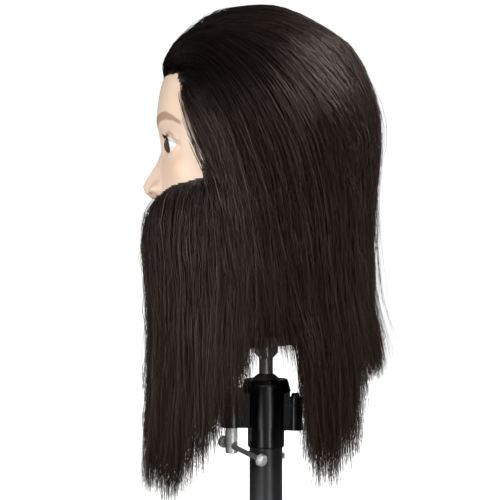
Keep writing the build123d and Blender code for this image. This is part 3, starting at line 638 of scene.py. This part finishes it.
def lay_out(obj, n, rows):
    """UV layer: one cell for each strand."""
    side = math.ceil(math.sqrt(n))
    cell = 1.0 / side
    inset, use = cell * UV_INSET, cell * UV_USE
    col, line = np.arange(n) % side, np.arange(n) // side
    origin = np.stack([col * cell + inset, line * cell + inset], -1)
    r, k = np.meshgrid(np.arange(rows - 1), np.arange(STRAND_SIDES), indexing="ij")
    round_quad = ((0, 0), (1, 0), (1, 1), (0, 1))
    corner = [np.stack([(k + i) / STRAND_SIDES, (r + j) / (rows - 1)], -1) for i, j in round_quad]
    quads = (origin[:, None, :] + np.stack(corner, -2).reshape(-1, 2)[None] * use).reshape(-1, 2)
    tri = np.array([[0.0, 0.0], [0.1, 0.0], [0.0, 0.1]])
    low = (origin[:, None, :] + tri[None] * use).reshape(-1, 2)
    high = (origin[:, None, :] + (tri[None] + (0, 0.88)) * use).reshape(-1, 2)
    layer = obj.data.uv_layers.new(name="OFBake")
    layer.data.foreach_set("uv", np.concatenate([quads, low, high]).astype(np.float32).ravel())


def hair_material(name, dark, light, painted_glint, tip, rough):
    """Each strand has its own shade from dark to light, a few take the painted glint, a painted highlight,
    and all turn to the tip's colour.
    """
    m = Nodes(name)
    shade = m.add("ShaderNodeAttribute", attribute_name="shade")
    reach = m.add("ShaderNodeAttribute", attribute_name="reach")
    # the ramp's top stop is the painted glint, a painted highlight
    body = m.ramp(shade.outputs["Fac"], [(0.0, dark), (0.9, light), (1.0, painted_glint)])
    mixed = m.add("ShaderNodeMix", data_type="RGBA")
    m.link(m.span(reach.outputs["Fac"], 0.0, 0.8), mixed.inputs["Factor"])
    m.link(body, mixed.inputs[6])
    mixed.inputs[7].default_value = (*tip, 1)
    m.link(mixed.outputs[2], m.shader.inputs["Base Color"])
    m.link(m.span(shade.outputs["Fac"], 0.03, 0.66), m.shader.inputs["Specular IOR Level"])
    # the set level is the strands' mean, for an export that can't keep the linked one
    m.set(Roughness=rough, Specular_IOR_Level=0.3, Specular_Tint=(1.0, 0.78, 0.73, 1))
    return m.material


def under_material():
    """Dark hair seen between the strands."""
    m = Nodes("hair_under")
    streaks = m.noise(420, 4, (1, 1, 0.06), 0.65)
    colour = m.ramp(streaks, [(0.3, (0.004, 0.003, 0.003)), (0.7, (0.014, 0.010, 0.008))])
    m.link(colour, m.shader.inputs["Base Color"])
    m.link(m.span(streaks, 0.45, 0.7), m.shader.inputs["Roughness"])
    m.bump(streaks, 0.6, 0.6 * MM)
    return m.material


# -------------------- where hair grows
# Side hairline: height, y. The beard's upper line: distance from the middle, height.
SIDE_EDGE = [(318, -52), (327, -54), (338, -57), (355, -63.5), (382, -71), (400, -74.5), (414, -77.5)]
BEARD_TOP = [(0, 306.5), (12, 309.5), (20, 312), (30, 314.5), (40, 317.5), (52, 320), (60, 323.5), (66, 332)]
FRINGE = 414.0  # height of the front hairline
SCALP_FOOT = [(-46, 327), (-45.9, 316), (20, 312), (45, 236), (90, 226)]  # y, lowest hair that is scalp hair
BEARD_FOOT, BEARD_BACK = 246, -34  # the beard grows above this height and in front of this y
SCALP_COUNT, EDGE_COUNT, FRINGE_COUNT, SIDEBURN_COUNT, BEARD_COUNT = 15500, 44, 1500, 1500, 6000


def behind_edge(p):
    """How far a point is behind the side hairline."""
    return p[..., 1] - read(SIDE_EDGE, p[..., 2])


def open_face(p, margin=0.0):
    """True in the bare face: between the side hairlines, under the fringe, over the beard."""
    x, y, z = np.abs(p[..., 0]), p[..., 1], p[..., 2]
    return (y < read(SIDE_EDGE, z) + margin) & (z < FRINGE + margin) & (z > read(BEARD_TOP, x) - margin)


def pick_roots(count, wanted):
    """Random points on the head where wanted(points) is true, with their outward normals."""
    a, b = head_grid[:-1], head_grid[1:]
    across = np.roll(a, -1, 1) - a
    down = b - a
    normal = np.cross(down, across)
    area = np.linalg.norm(normal, axis=-1)
    normal /= area[..., None] + 1e-9
    middle = (a + np.roll(a, -1, 1) + b + np.roll(b, -1, 1)) / 4
    index = np.flatnonzero(wanted(middle).ravel())
    weight = area.ravel()[index]
    chosen = rng.choice(index, count, p=weight / weight.sum())
    u, v = rng.random((2, count, 1))
    at = a.reshape(-1, 3)[chosen] + across.reshape(-1, 3)[chosen] * u + down.reshape(-1, 3)[chosen] * v
    return at, outwards(at, normal.reshape(-1, 3)[chosen])


def outwards(p, normals):
    """The normals with each that points towards the head's middle turned round."""
    inward = ((p - MIDDLE) * normals).sum(-1) < 0
    return np.where(inward[..., None], -normals, normals)


def waves(p, seed, size):
    """Smooth noise of a place, (n, 3), from a few sines."""
    r = np.random.default_rng(seed)
    total = np.zeros(p.shape[:-1] + (3,))
    for _ in range(4):
        k = r.normal(size=3) / size
        total += np.sin((p @ k)[..., None] + r.uniform(0, ROUND, 3)) * r.normal(size=3)
    return total / 2


CRANIUM, CRANIUM_R = np.array([0, -3.5, 385.0]), np.array([75, 93.5, 87.0])  # centre and half axes
# The surface table: number of azimuths, and the height coordinate's range and step.
TURNS, LOWEST, HIGHEST, HEIGHT_STEP = 180, -160, 90, 2


def polar(p):
    """Azimuth, height coordinate and radius of points about the cranium's centre.

    Above the centre the height coordinate is the elevation in degrees and the radius is the distance
    from it; below, they are the depth in mm, negative, and the distance from the upright axis.
    """
    x, y, z = (p - CRANIUM).T
    flat = np.hypot(x, y)
    high = z > 0
    return (
        np.arctan2(x, -y),
        np.where(high, np.degrees(np.arctan2(z, flat)), z),
        np.where(high, np.hypot(flat, z), flat),
    )


def unpolar(turn, height, radius):
    """Points at an azimuth, height coordinate and radius, as polar() gives them."""
    high = height > 0
    lift = np.radians(np.where(high, height, 0))
    flat = radius * np.cos(lift)
    z = np.where(high, radius * np.sin(lift), height)
    return CRANIUM + np.stack([flat * np.sin(turn), -flat * np.cos(turn), z], -1)


def measure_surface():
    """The head's radius on a table of azimuth and height coordinate, with its gaps filled."""
    turn, height, radius = polar(head_grid.reshape(-1, 3))
    rows = (HIGHEST - LOWEST) // HEIGHT_STEP + 1
    col = np.round((turn + math.pi) / (2 * math.pi) * TURNS).astype(int) % TURNS
    row = np.clip(np.round((height - LOWEST) / HEIGHT_STEP), 0, rows - 1).astype(int)
    total, count = np.zeros((rows, TURNS)), np.zeros((rows, TURNS))
    np.add.at(total, (row, col), radius)
    np.add.at(count, (row, col), 1)
    known = count > 0
    table = np.where(known, total / np.maximum(count, 1), np.nan)
    for _ in range(60):
        above, below = np.vstack([table[:1], table[:-1]]), np.vstack([table[1:], table[-1:]])
        around = np.stack([np.roll(table, 1, 1), np.roll(table, -1, 1), above, below])
        have = ~np.isnan(around)
        mean = np.where(have, around, 0).sum(0) / np.maximum(have.sum(0), 1)
        table = np.where(np.isnan(table) & have.any(0), mean, table)
    return table


surface_table = measure_surface()


def surface_radius(turn, height):
    """The head's radius read from the table, smoothly between its entries."""
    u = (turn + math.pi) / (2 * math.pi) * TURNS
    v = np.clip((height - LOWEST) / HEIGHT_STEP, 0, surface_table.shape[0] - 1.001)
    i, j = np.floor(u).astype(int), np.floor(v).astype(int)
    fu, fv = u - i, v - j
    i, n = i % TURNS, (i + 1) % TURNS
    low = surface_table[j, i] * (1 - fu) + surface_table[j, n] * fu
    high = surface_table[j + 1, i] * (1 - fu) + surface_table[j + 1, n] * fu
    return low * (1 - fv) + high * fv


def fullness(p):
    """The hair lies closer to the head over the crown and its back, and stands up at the fringe."""
    y, z = p[:, 1], p[:, 2]
    back = 1 - 0.6 * smoothstep(375, 420, z) * smoothstep(0, 50, y)
    top = 1 - 0.3 * smoothstep(440, 465, z) * smoothstep(-60, -20, y)
    fringe = 1 + 0.5 * smoothstep(405, 420, z) * smoothstep(-60, -85, y)
    return back * top * fringe


def onto(p, layer):
    """Points set on their layer over the cranium, and below its centre only pushed out to it."""
    turn, height, radius = polar(p)
    target = surface_radius(turn, height) + layer * fullness(p)
    return unpolar(turn, height, np.where(height > 0, target, np.maximum(radius, target)))


# -------------------- how hair lies
STEP, STEPS = 4.0, 122  # a scalp hair's path
# Way the hair is combed: height, degrees below level.
FLOW = [
    (170, 88), (230, 83), (290, 77), (330, 72), (360, 66),
    (400, 57), (430, 47), (450, 34), (465, 14), (474, 0),
]
EDGE_ANGLE = 61  # degrees below level, of the hair along the side hairline
LAYER_OVER = 8  # the combed hair's middle layer over the skull, about
TURN_SHARE = 0.6  # how much of the wanted way a hair takes up in one step
RISE = 0.45  # how steeply a hair rises from the skin to its layer
WANDER = (0.08, 0.07)  # sideways and lengthways drift of neighbouring hairs
CROSS = 0.05  # drift of single hairs across their neighbours
ENDS = [  # y, height of the cut ends
    (-115, 52), (-92, 52), (-77, 48), (-63, 66), (-50, 92), (-40, 116), (-28, 136), (-18, 152), (-14, 183),
    (30, 183), (34, 70), (47, 72), (62, 82), (75, 96), (80, 116), (86, 148), (95, 164), (103, 168),
]
PARTING = (-14, 34)  # y range of the opening over the holder
REACH_LOW, REACH_HIGH = (-104, -124, 30), (104, 117, 484)  # no hair goes past these
STRAND_R = 0.21  # radius of a drawn strand, which stands for a few real hairs
STRAND_TAPER = [(0, 0.4), (0.06, 1), (0.5, 0.95), (0.85, 0.7), (1, 0.2)]  # way along a strand, thickness
SCALP_LOCKS, BEARD_LOCKS, LOCK_PULL, LOCK_WAVE = 1900, 760, 0.72, 1.3
# painted highlight: this share of strands takes the glint colour and the highest specular level
PAINTED_GLINTS = 0.02  # share of strands that shine
STRAY_SIZES, STRAY_SHARES = [2.4, 5.0, 8.0], [0.8, 0.16, 0.04]
BEARD_STRAY = 0.6


def comb(roots, normals, layers):
    """Hair swept back from the face over the skull, then falling: paths in steps, (n, steps, 3)."""
    p = roots.copy()
    d = normals * 0.4 + np.array([0, 0.9, 0.0])
    path = [p.copy()]
    wander = waves(roots, 5, 22)
    cross = rng.normal(0, CROSS, len(roots))
    upright = smoothstep(352, 328, roots[:, 2])  # hair that grows in front of the ear falls straight
    size = (CRANIUM_R + LAYER_OVER) ** 2
    for i in range(STEPS):
        y, z = p[:, 1], p[:, 2]
        crest = smoothstep(-58, -78, y) * smoothstep(402, 415, z)  # the fringe goes straight back
        angle = read(FLOW, z) - 9 * smoothstep(-38, -62, y)
        beside = smoothstep(13, 1, behind_edge(p)) * smoothstep(412, 398, z)
        angle += (EDGE_ANGLE - angle) * beside * smoothstep(322, 332, z)
        angle = np.radians(angle + (90 - angle) * upright) * (1 - crest)
        back = np.cos(angle) + WANDER[1] * wander[:, 1] + cross
        want = np.stack([WANDER[0] * wander[:, 0], back, -np.sin(angle)], 1)
        dome = (p - CRANIUM) / size
        tube = (p - CRANIUM * (0, 1, 0)) * (1, 1, 0) / size
        out = unit(np.where((z >= CRANIUM[2])[:, None], dome, tube))
        want = unit(want - out * (want * out).sum(1, keepdims=True))
        d = unit(d * (1 - TURN_SHARE) + want * TURN_SHARE)
        p = onto(p + d * STEP, np.minimum(layers, 0.3 + (i + 1) * STEP * RISE))
        d = unit(p - path[-1])
        path.append(p.copy())
    return np.stack(path, 1)


def trim(paths, low):
    """Each path cut at its own height, and read again in rows that are closer together near the root."""
    n = len(paths)
    out = np.empty((n, STRAND_ROWS, 3))
    t = np.linspace(0, 1, STRAND_ROWS)
    places = 0.62 * t + 0.38 * t**2
    steps = np.arange(paths.shape[1])
    for i in range(n):
        z = paths[i, :, 2]
        below = np.flatnonzero(z < low[i])
        if len(below) and below[0] > 0:
            j = below[0]
            last = j - 1 + (z[j - 1] - low[i]) / max(z[j - 1] - z[j], 1e-6)
        else:
            last = steps[-1]
        at = places * last
        for k in range(3):
            out[i, :, k] = np.interp(at, steps, paths[i, :, k])
    return out


def clump(paths, locks):
    """Strands pulled towards their nearest lock, more at their tips, and their shades by lock."""
    n, rows = paths.shape[:2]
    chosen = rng.choice(n, locks, replace=False)
    key = np.concatenate([paths[:, 0] * 0.5, paths[:, rows // 2], paths[:, -1] * 0.8], 1)
    centres = key[chosen]
    owner = np.empty(n, int)
    for a in range(0, n, 2000):
        d = ((key[a : a + 2000, None] - centres[None]) ** 2).sum(-1)
        owner[a : a + 2000] = d.argmin(1)
    guide = paths[chosen][owner]
    t = np.linspace(0, 1, rows)[None, :, None]
    pull = LOCK_PULL * rng.uniform(0.5, 1.15, (n, 1, 1)) * t**2 * (1 - 0.35 * t**6)
    shades = 0.55 * rng.random(locks)[owner] + 0.35 * rng.random(n)
    # painted highlight: the glint strands go to the top of the colour ramp
    shades[rng.random(n) < PAINTED_GLINTS] = 1.0
    # each lock waves a little as it falls
    bend = rng.normal(size=(locks, 1, 3)) * (1, 1, 0)
    turns, start = rng.uniform(2, 6, (locks, 1, 1)), rng.uniform(0, ROUND, (locks, 1, 1))
    wave = LOCK_WAVE * (np.sin(t * turns * ROUND + start) * bend)[owner] * smoothstep(0.1, 0.5, t)
    return paths + (guide - paths) * np.clip(pull, 0, 0.92) + wave, shades


def stray(paths, scale=1.0):
    """Each strand leaves its neighbours a little towards its tip, and a few stand well off."""
    n, rows = paths.shape[:2]
    t = np.linspace(0, 1, rows)[None, :, None]
    size = scale * rng.choice(STRAY_SIZES, (n, 1, 1), p=STRAY_SHARES)
    way = rng.normal(size=(n, 1, 3)) * (1, 1, 0.15)
    total = np.zeros_like(paths)
    for slow, fast, reach in ((1.0, 3.0, 0.8), (4.0, 8.0, 0.3)):
        turns, start = rng.uniform(slow, fast, (n, 1, 1)), rng.uniform(0, ROUND, (n, 1, 3))
        total += np.sin(t * turns * ROUND + start) * (1, 1, 0) * reach * rng.uniform(0.1, 1.0, (n, 1, 1))
    loose = paths + way * size * t**2.5 + total * np.minimum(1, t * 2) * (0.7 + 0.9 * t)
    return np.clip(loose, REACH_LOW, REACH_HIGH)


def thickness(n, rows, size):
    """Radii of n strands, tapered to the tip and at the root."""
    taper = read(STRAND_TAPER, np.linspace(0, 1, rows))
    return size * rng.uniform(0.75, 1.3, (n, 1)) * taper[None]


def scalp_area(p):
    """Where the combed hair grows, thinned out towards the side hairline."""
    y, z = p[..., 1], p[..., 2]
    thin = (z < 400) & (z > 330) & (rng.random(z.shape) > 0.12 + behind_edge(p) / 15)
    return ~open_face(p) & (z > read(SCALP_FOOT, y)) & ~((y < -46) & (z < 327)) & ~thin


def edge_area(p):
    """Band of bare skin along the hairline where a few single hairs start."""
    z = p[..., 2]
    return open_face(p) & (-behind_edge(p) < 4.5) & (z > 334) & (z < 400)


def fringe_area(p):
    """Strip just behind the fringe and the temple's corner, where nothing grows above to cover it."""
    y, z = p[..., 1], p[..., 2]
    strip = (z > 392) & (y < -40) & (z < FRINGE + 12)
    return ~open_face(p) & strip & ((z > FRINGE) | (behind_edge(p) < 12))


def sideburn_area(p):
    """In front of and below the ear, where the hair falls straight."""
    y, z = p[..., 1], p[..., 2]
    return ~open_face(p) & (y > -56) & (y < -12) & (z > 312) & (z < 350)


def beard_area(p):
    x, y, z = np.abs(p[..., 0]), p[..., 1], p[..., 2]
    return (y < BEARD_BACK) & (z < read(BEARD_TOP, x)) & (z > BEARD_FOOT)


def scalp_layers(roots):
    """How far each hair lies over the head: any depth of the hair, which is thin at its edges."""
    y, z = roots[:, 1], roots[:, 2]
    inset = np.where(z < FRINGE, behind_edge(roots), y + 90 + (z - FRINGE) * 0.5)
    layers = 0.9 + rng.uniform(0.0, 1.0, len(roots)) ** 0.8 * (2.3 + 8.8 * smoothstep(-2, 48, inset))
    return layers + 1.6 * (z > FRINGE) * smoothstep(16, 4, inset)


def flare(paths):
    """The falling hair, narrower under the ears and wider at its ends."""
    z = paths[..., 2]
    wide = [(60, 1.12), (151, 1.09), (216, 1.04), (259, 1.02), (313, 1.0), (356, 1.0)]
    deep = [(100, 1.08), (151, 1.04), (184, 0.99), (216, 0.915), (259, 0.91), (313, 0.955), (356, 1.0)]
    paths[..., 0] *= read(wide, z)
    paths[..., 1] = np.where(paths[..., 1] > 0, paths[..., 1] * read(deep, z), paths[..., 1])
    return paths


def scalp_hair():
    """Roots, paths and shades of the hair of the head, with painted shade on the strands rooted at the
    crown's front.
    """
    areas = (
        (SCALP_COUNT, scalp_area), (EDGE_COUNT, edge_area),
        (FRINGE_COUNT, fringe_area), (SIDEBURN_COUNT, sideburn_area),
    )
    roots, normals = (np.concatenate(both) for both in zip(*(pick_roots(*area) for area in areas)))
    n = len(roots)
    paths = flare(comb(roots, normals, scalp_layers(roots)))
    z = paths[..., 2].copy()
    hang = paths[np.arange(n), (z > 160).sum(1).clip(0, STEPS)]
    y = hang[:, 1]
    low = read(ENDS, y) - 14 + rng.exponential(1, n) * read([(60, 28), (95, 60)], y)
    low += 5 * waves(hang, 23, 5)[:, 0] + rng.normal(0, 5, n)
    low = np.minimum(low, roots[:, 2] - 60)
    # some hairs at the opening's back edge run on past it
    over = (y > PARTING[0]) & (y < PARTING[1])
    longer = over & (rng.random(n) < read([(-14, 0), (12, 0), (20, 0.05), (33, 0.3)], y))
    low = np.where(longer, rng.uniform(95, 160, n), low)
    # the opening parts the hair
    drift = np.where(over, read([(-14, -10), (4, -2), (12, 6), (33, 14)], y), 0)
    paths[..., 1] += drift[:, None] * smoothstep(250, 110, z)
    paths += waves(roots, 11, 15)[:, None, :] * (1.6 * smoothstep(420, 120, z))[..., None]
    paths, shades = clump(trim(paths, low), SCALP_LOCKS)
    # painted shade: strands rooted at the crown's front are darker, in colour and in specular level, where
    # the lights leave the hair dark
    front_painted_shade = smoothstep(395, 415, roots[:, 2]) * smoothstep(10, -50, roots[:, 1])
    return roots, stray(paths), shades * (1 - 0.75 * front_painted_shade)


def beard_hair():
    """Roots, paths and shades of the beard and moustache: out from the skin, then straight down."""
    roots, normals = pick_roots(BEARD_COUNT, beard_area)
    n = len(roots)
    flat = normals * (1, 1, 0)
    flat[:, 1] -= 0.25
    flat /= np.linalg.norm(flat, axis=1, keepdims=True)
    reach = rng.uniform(0.06, 1, n) ** 0.6 * read([(-96, 16.5), (-60, 13), (-34, 10)], roots[:, 1])
    fall = np.concatenate([np.linspace(0, 40, 14), np.linspace(48, 300, 36)])
    out = 1 - np.exp(-fall / 9.0)
    under = np.clip(-normals[:, 2], 0, 1)
    paths = roots[:, None, :] + flat[:, None, :] * (reach[:, None] * out[None])[..., None]
    paths[..., 2] -= fall[None] - 0.6 * bell(fall - 3, 3.0)[None] * (1 - under[:, None])
    narrow = [(60, 1), (90, 0.98), (110, 0.975), (130, 0.958), (215, 0.958), (240, 0.974), (262, 1)]
    paths[..., 1] *= np.where(paths[..., 1] < -60, read(narrow, paths[..., 2]), 1)
    hang = paths[:, 20]
    low = read(ENDS, hang[:, 1]) - 10 + rng.exponential(24, n)
    low = low + 5 * waves(hang, 29, 5)[:, 0] + rng.normal(0, 5, n)
    # the hair under the chin is shorter and stays over the holder's sliding bar
    over_bar = (np.abs(hang[:, 0]) < 46) & (hang[:, 1] > -72)
    low = np.where(over_bar, np.maximum(low, 122), low)
    across = np.stack([-flat[:, 1], flat[:, 0], np.zeros(n)], 1)
    paths += across[:, None, :] * (rng.normal(0, 0.04, n)[:, None] * fall[None])[..., None]
    paths += waves(roots, 17, 15)[:, None, :] * (1.4 * smoothstep(300, 90, paths[..., 2]))[..., None]
    paths, shades = clump(trim(paths, low), BEARD_LOCKS)
    return roots, stray(paths, BEARD_STRAY), shades


def make_hair():
    """The strands as pieces by zone and side, no piece larger than MOST_FACES."""
    material = hair_material(
        "hair_strands",
        dark=(0.0015, 0.0012, 0.0011),
        light=(0.021, 0.0147, 0.0125),
        # the glint colour is a painted highlight on single strands
        painted_glint=(0.08, 0.06, 0.052),
        tip=(0.022, 0.0135, 0.0095),
        rough=0.33,
    )
    groups = []
    roots, paths, shades = scalp_hair()
    side = np.where(paths[:, -1, 0] > 0, 0, 1)
    zone = np.where(roots[:, 2] > 425, 0, np.where(roots[:, 1] > 20, 1, 2))
    for s, side_name in enumerate(("left", "right")):
        for z, zone_name in enumerate(("top", "back", "side")):
            which = np.flatnonzero((side == s) & (zone == z))
            groups.append((f"hair_{zone_name}_{side_name}", paths[which], shades[which]))
    roots, beard, shades = beard_hair()
    for s, side_name in enumerate(("left", "right")):
        which = np.flatnonzero((roots[:, 0] > 0) == (s == 0))
        groups.append((f"beard_{side_name}", beard[which], shades[which]))
    for name, strands, tones in groups:
        parts = max(1, math.ceil(len(strands) * STRAND_ROWS * 2 * STRAND_SIDES / MOST_FACES))
        for part in range(parts):
            piece = strands[part::parts]
            label = f"{name}_strands_{part + 1}"
            radii = thickness(len(piece), STRAND_ROWS, STRAND_R)
            obj = tubes(label, piece, radii, tones[part::parts], material)
            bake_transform(obj)
    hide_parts("hair_cap")
    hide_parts("hair_back", "hair_back_left")
    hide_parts("hair_back_right")
    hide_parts("hair_side_left")
    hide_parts("hair_side_right")
    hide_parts("beard_left", "beard_front", "moustache")
    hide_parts("beard_right")


UNDER_OUT, UNDER_IN = 0.6, 0.8  # the under-layer's faces, from the skin
UNDER_MARGIN, TEMPLE_MARGIN = 0.8, 7.0  # how far it stays from the hairline, and more so at the temple


def make_under():
    """Shell of short dark hair close to the skin, everywhere but the face."""
    g = head_grid[3::2, ::2]
    rows, columns = g.shape[:2]
    normal = unit(np.cross(np.gradient(g, axis=0), np.roll(g, -1, 1) - np.roll(g, 1, 1)))
    normal = outwards(g, normal)
    outer = g + normal * UNDER_OUT
    inner = g - normal * UNDER_IN
    quads = grid_quads(rows, columns)
    centre = outer.reshape(-1, 3)[quads].mean(1)
    temple = smoothstep(404, 396, centre[:, 2]) * smoothstep(322, 334, centre[:, 2])
    keep = ~open_face(centre, UNDER_MARGIN + TEMPLE_MARGIN * temple)
    n = rows * columns
    outer_q, inner_q = quads[keep], quads[keep][:, ::-1] + n
    # walls along every open edge
    edges = np.concatenate([outer_q[:, [i, (i + 1) % 4]] for i in range(4)])
    key = edges.min(1) * np.int64(n) + edges.max(1)
    _, first, count = np.unique(key, return_index=True, return_counts=True)
    rim = edges[first[count == 1]]
    walls = np.stack([rim[:, 1], rim[:, 0], rim[:, 0] + n, rim[:, 1] + n], -1)
    points = np.concatenate([outer.reshape(-1, 3), inner.reshape(-1, 3)])
    used, compact = np.unique(np.concatenate([outer_q, inner_q, walls]), return_inverse=True)
    shell = build_mesh("hair_under_shell", points[used], [compact.reshape(-1, 4)], under_material())
    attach(shell, "head")


LASH_COUNT, LASH_ROWS, LASH_R = 46, 8, 0.16
LASH_LENGTHS = (2.6, 3.8)


def make_lashes():
    """A row of separate hairs that fan out and curl up along each upper lid."""
    shades = {"dark": (0.004, 0.003, 0.003), "light": (0.008, 0.006, 0.005), "painted_glint": (0.008, 0.006, 0.005)}
    material = hair_material("lash_strands", **shades, tip=(0.01, 0.008, 0.006), rough=0.45)
    count = LASH_COUNT
    for name, side in (("lashes_left", 1), ("lashes_right", -1)):
        u = np.linspace(0.06, 0.98, count) + rng.uniform(-0.008, 0.008, count)
        x = EYE_INNER[0] + (EYE_OUTER[0] - EYE_INNER[0]) * u
        _, up, _ = lid_gap(x, np.zeros(count))
        from_centre = np.stack([x - EYE_CENTRE[0], up - 0.2 - EYE_CENTRE[2]], -1)
        y = EYE_CENTRE[1] - np.sqrt(np.clip((EYE_R + 1.3) ** 2 - (from_centre**2).sum(1), 1, None))
        root = np.stack([x, y, up - 0.2], -1)
        fan = (u - 0.42) * 1.1
        t = np.linspace(0, 1, LASH_ROWS)[None, :, None]
        size = rng.uniform(*LASH_LENGTHS, count)[:, None, None]
        way = np.stack([np.sin(fan), -np.cos(fan), np.full(count, -0.05)], -1)[:, None]
        paths = root[:, None] + way * t * size + np.array([0, 0, 1.0]) * (0.55 * t**2) * size
        paths = paths * (side, 1, 1)
        radii = thickness(count, LASH_ROWS, LASH_R)
        lash = tubes(name + "_hairs", paths, radii, rng.random(count) * 0.2, material)
        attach(lash, "head")
        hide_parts(name)


make_camera()
make_studio()
paint_cad()
make_head()
acrylic = eye_material()
make_eye("eye_left", 1, acrylic)
make_eye("eye_right", -1, acrylic)
make_under()
make_hair()
make_lashes()
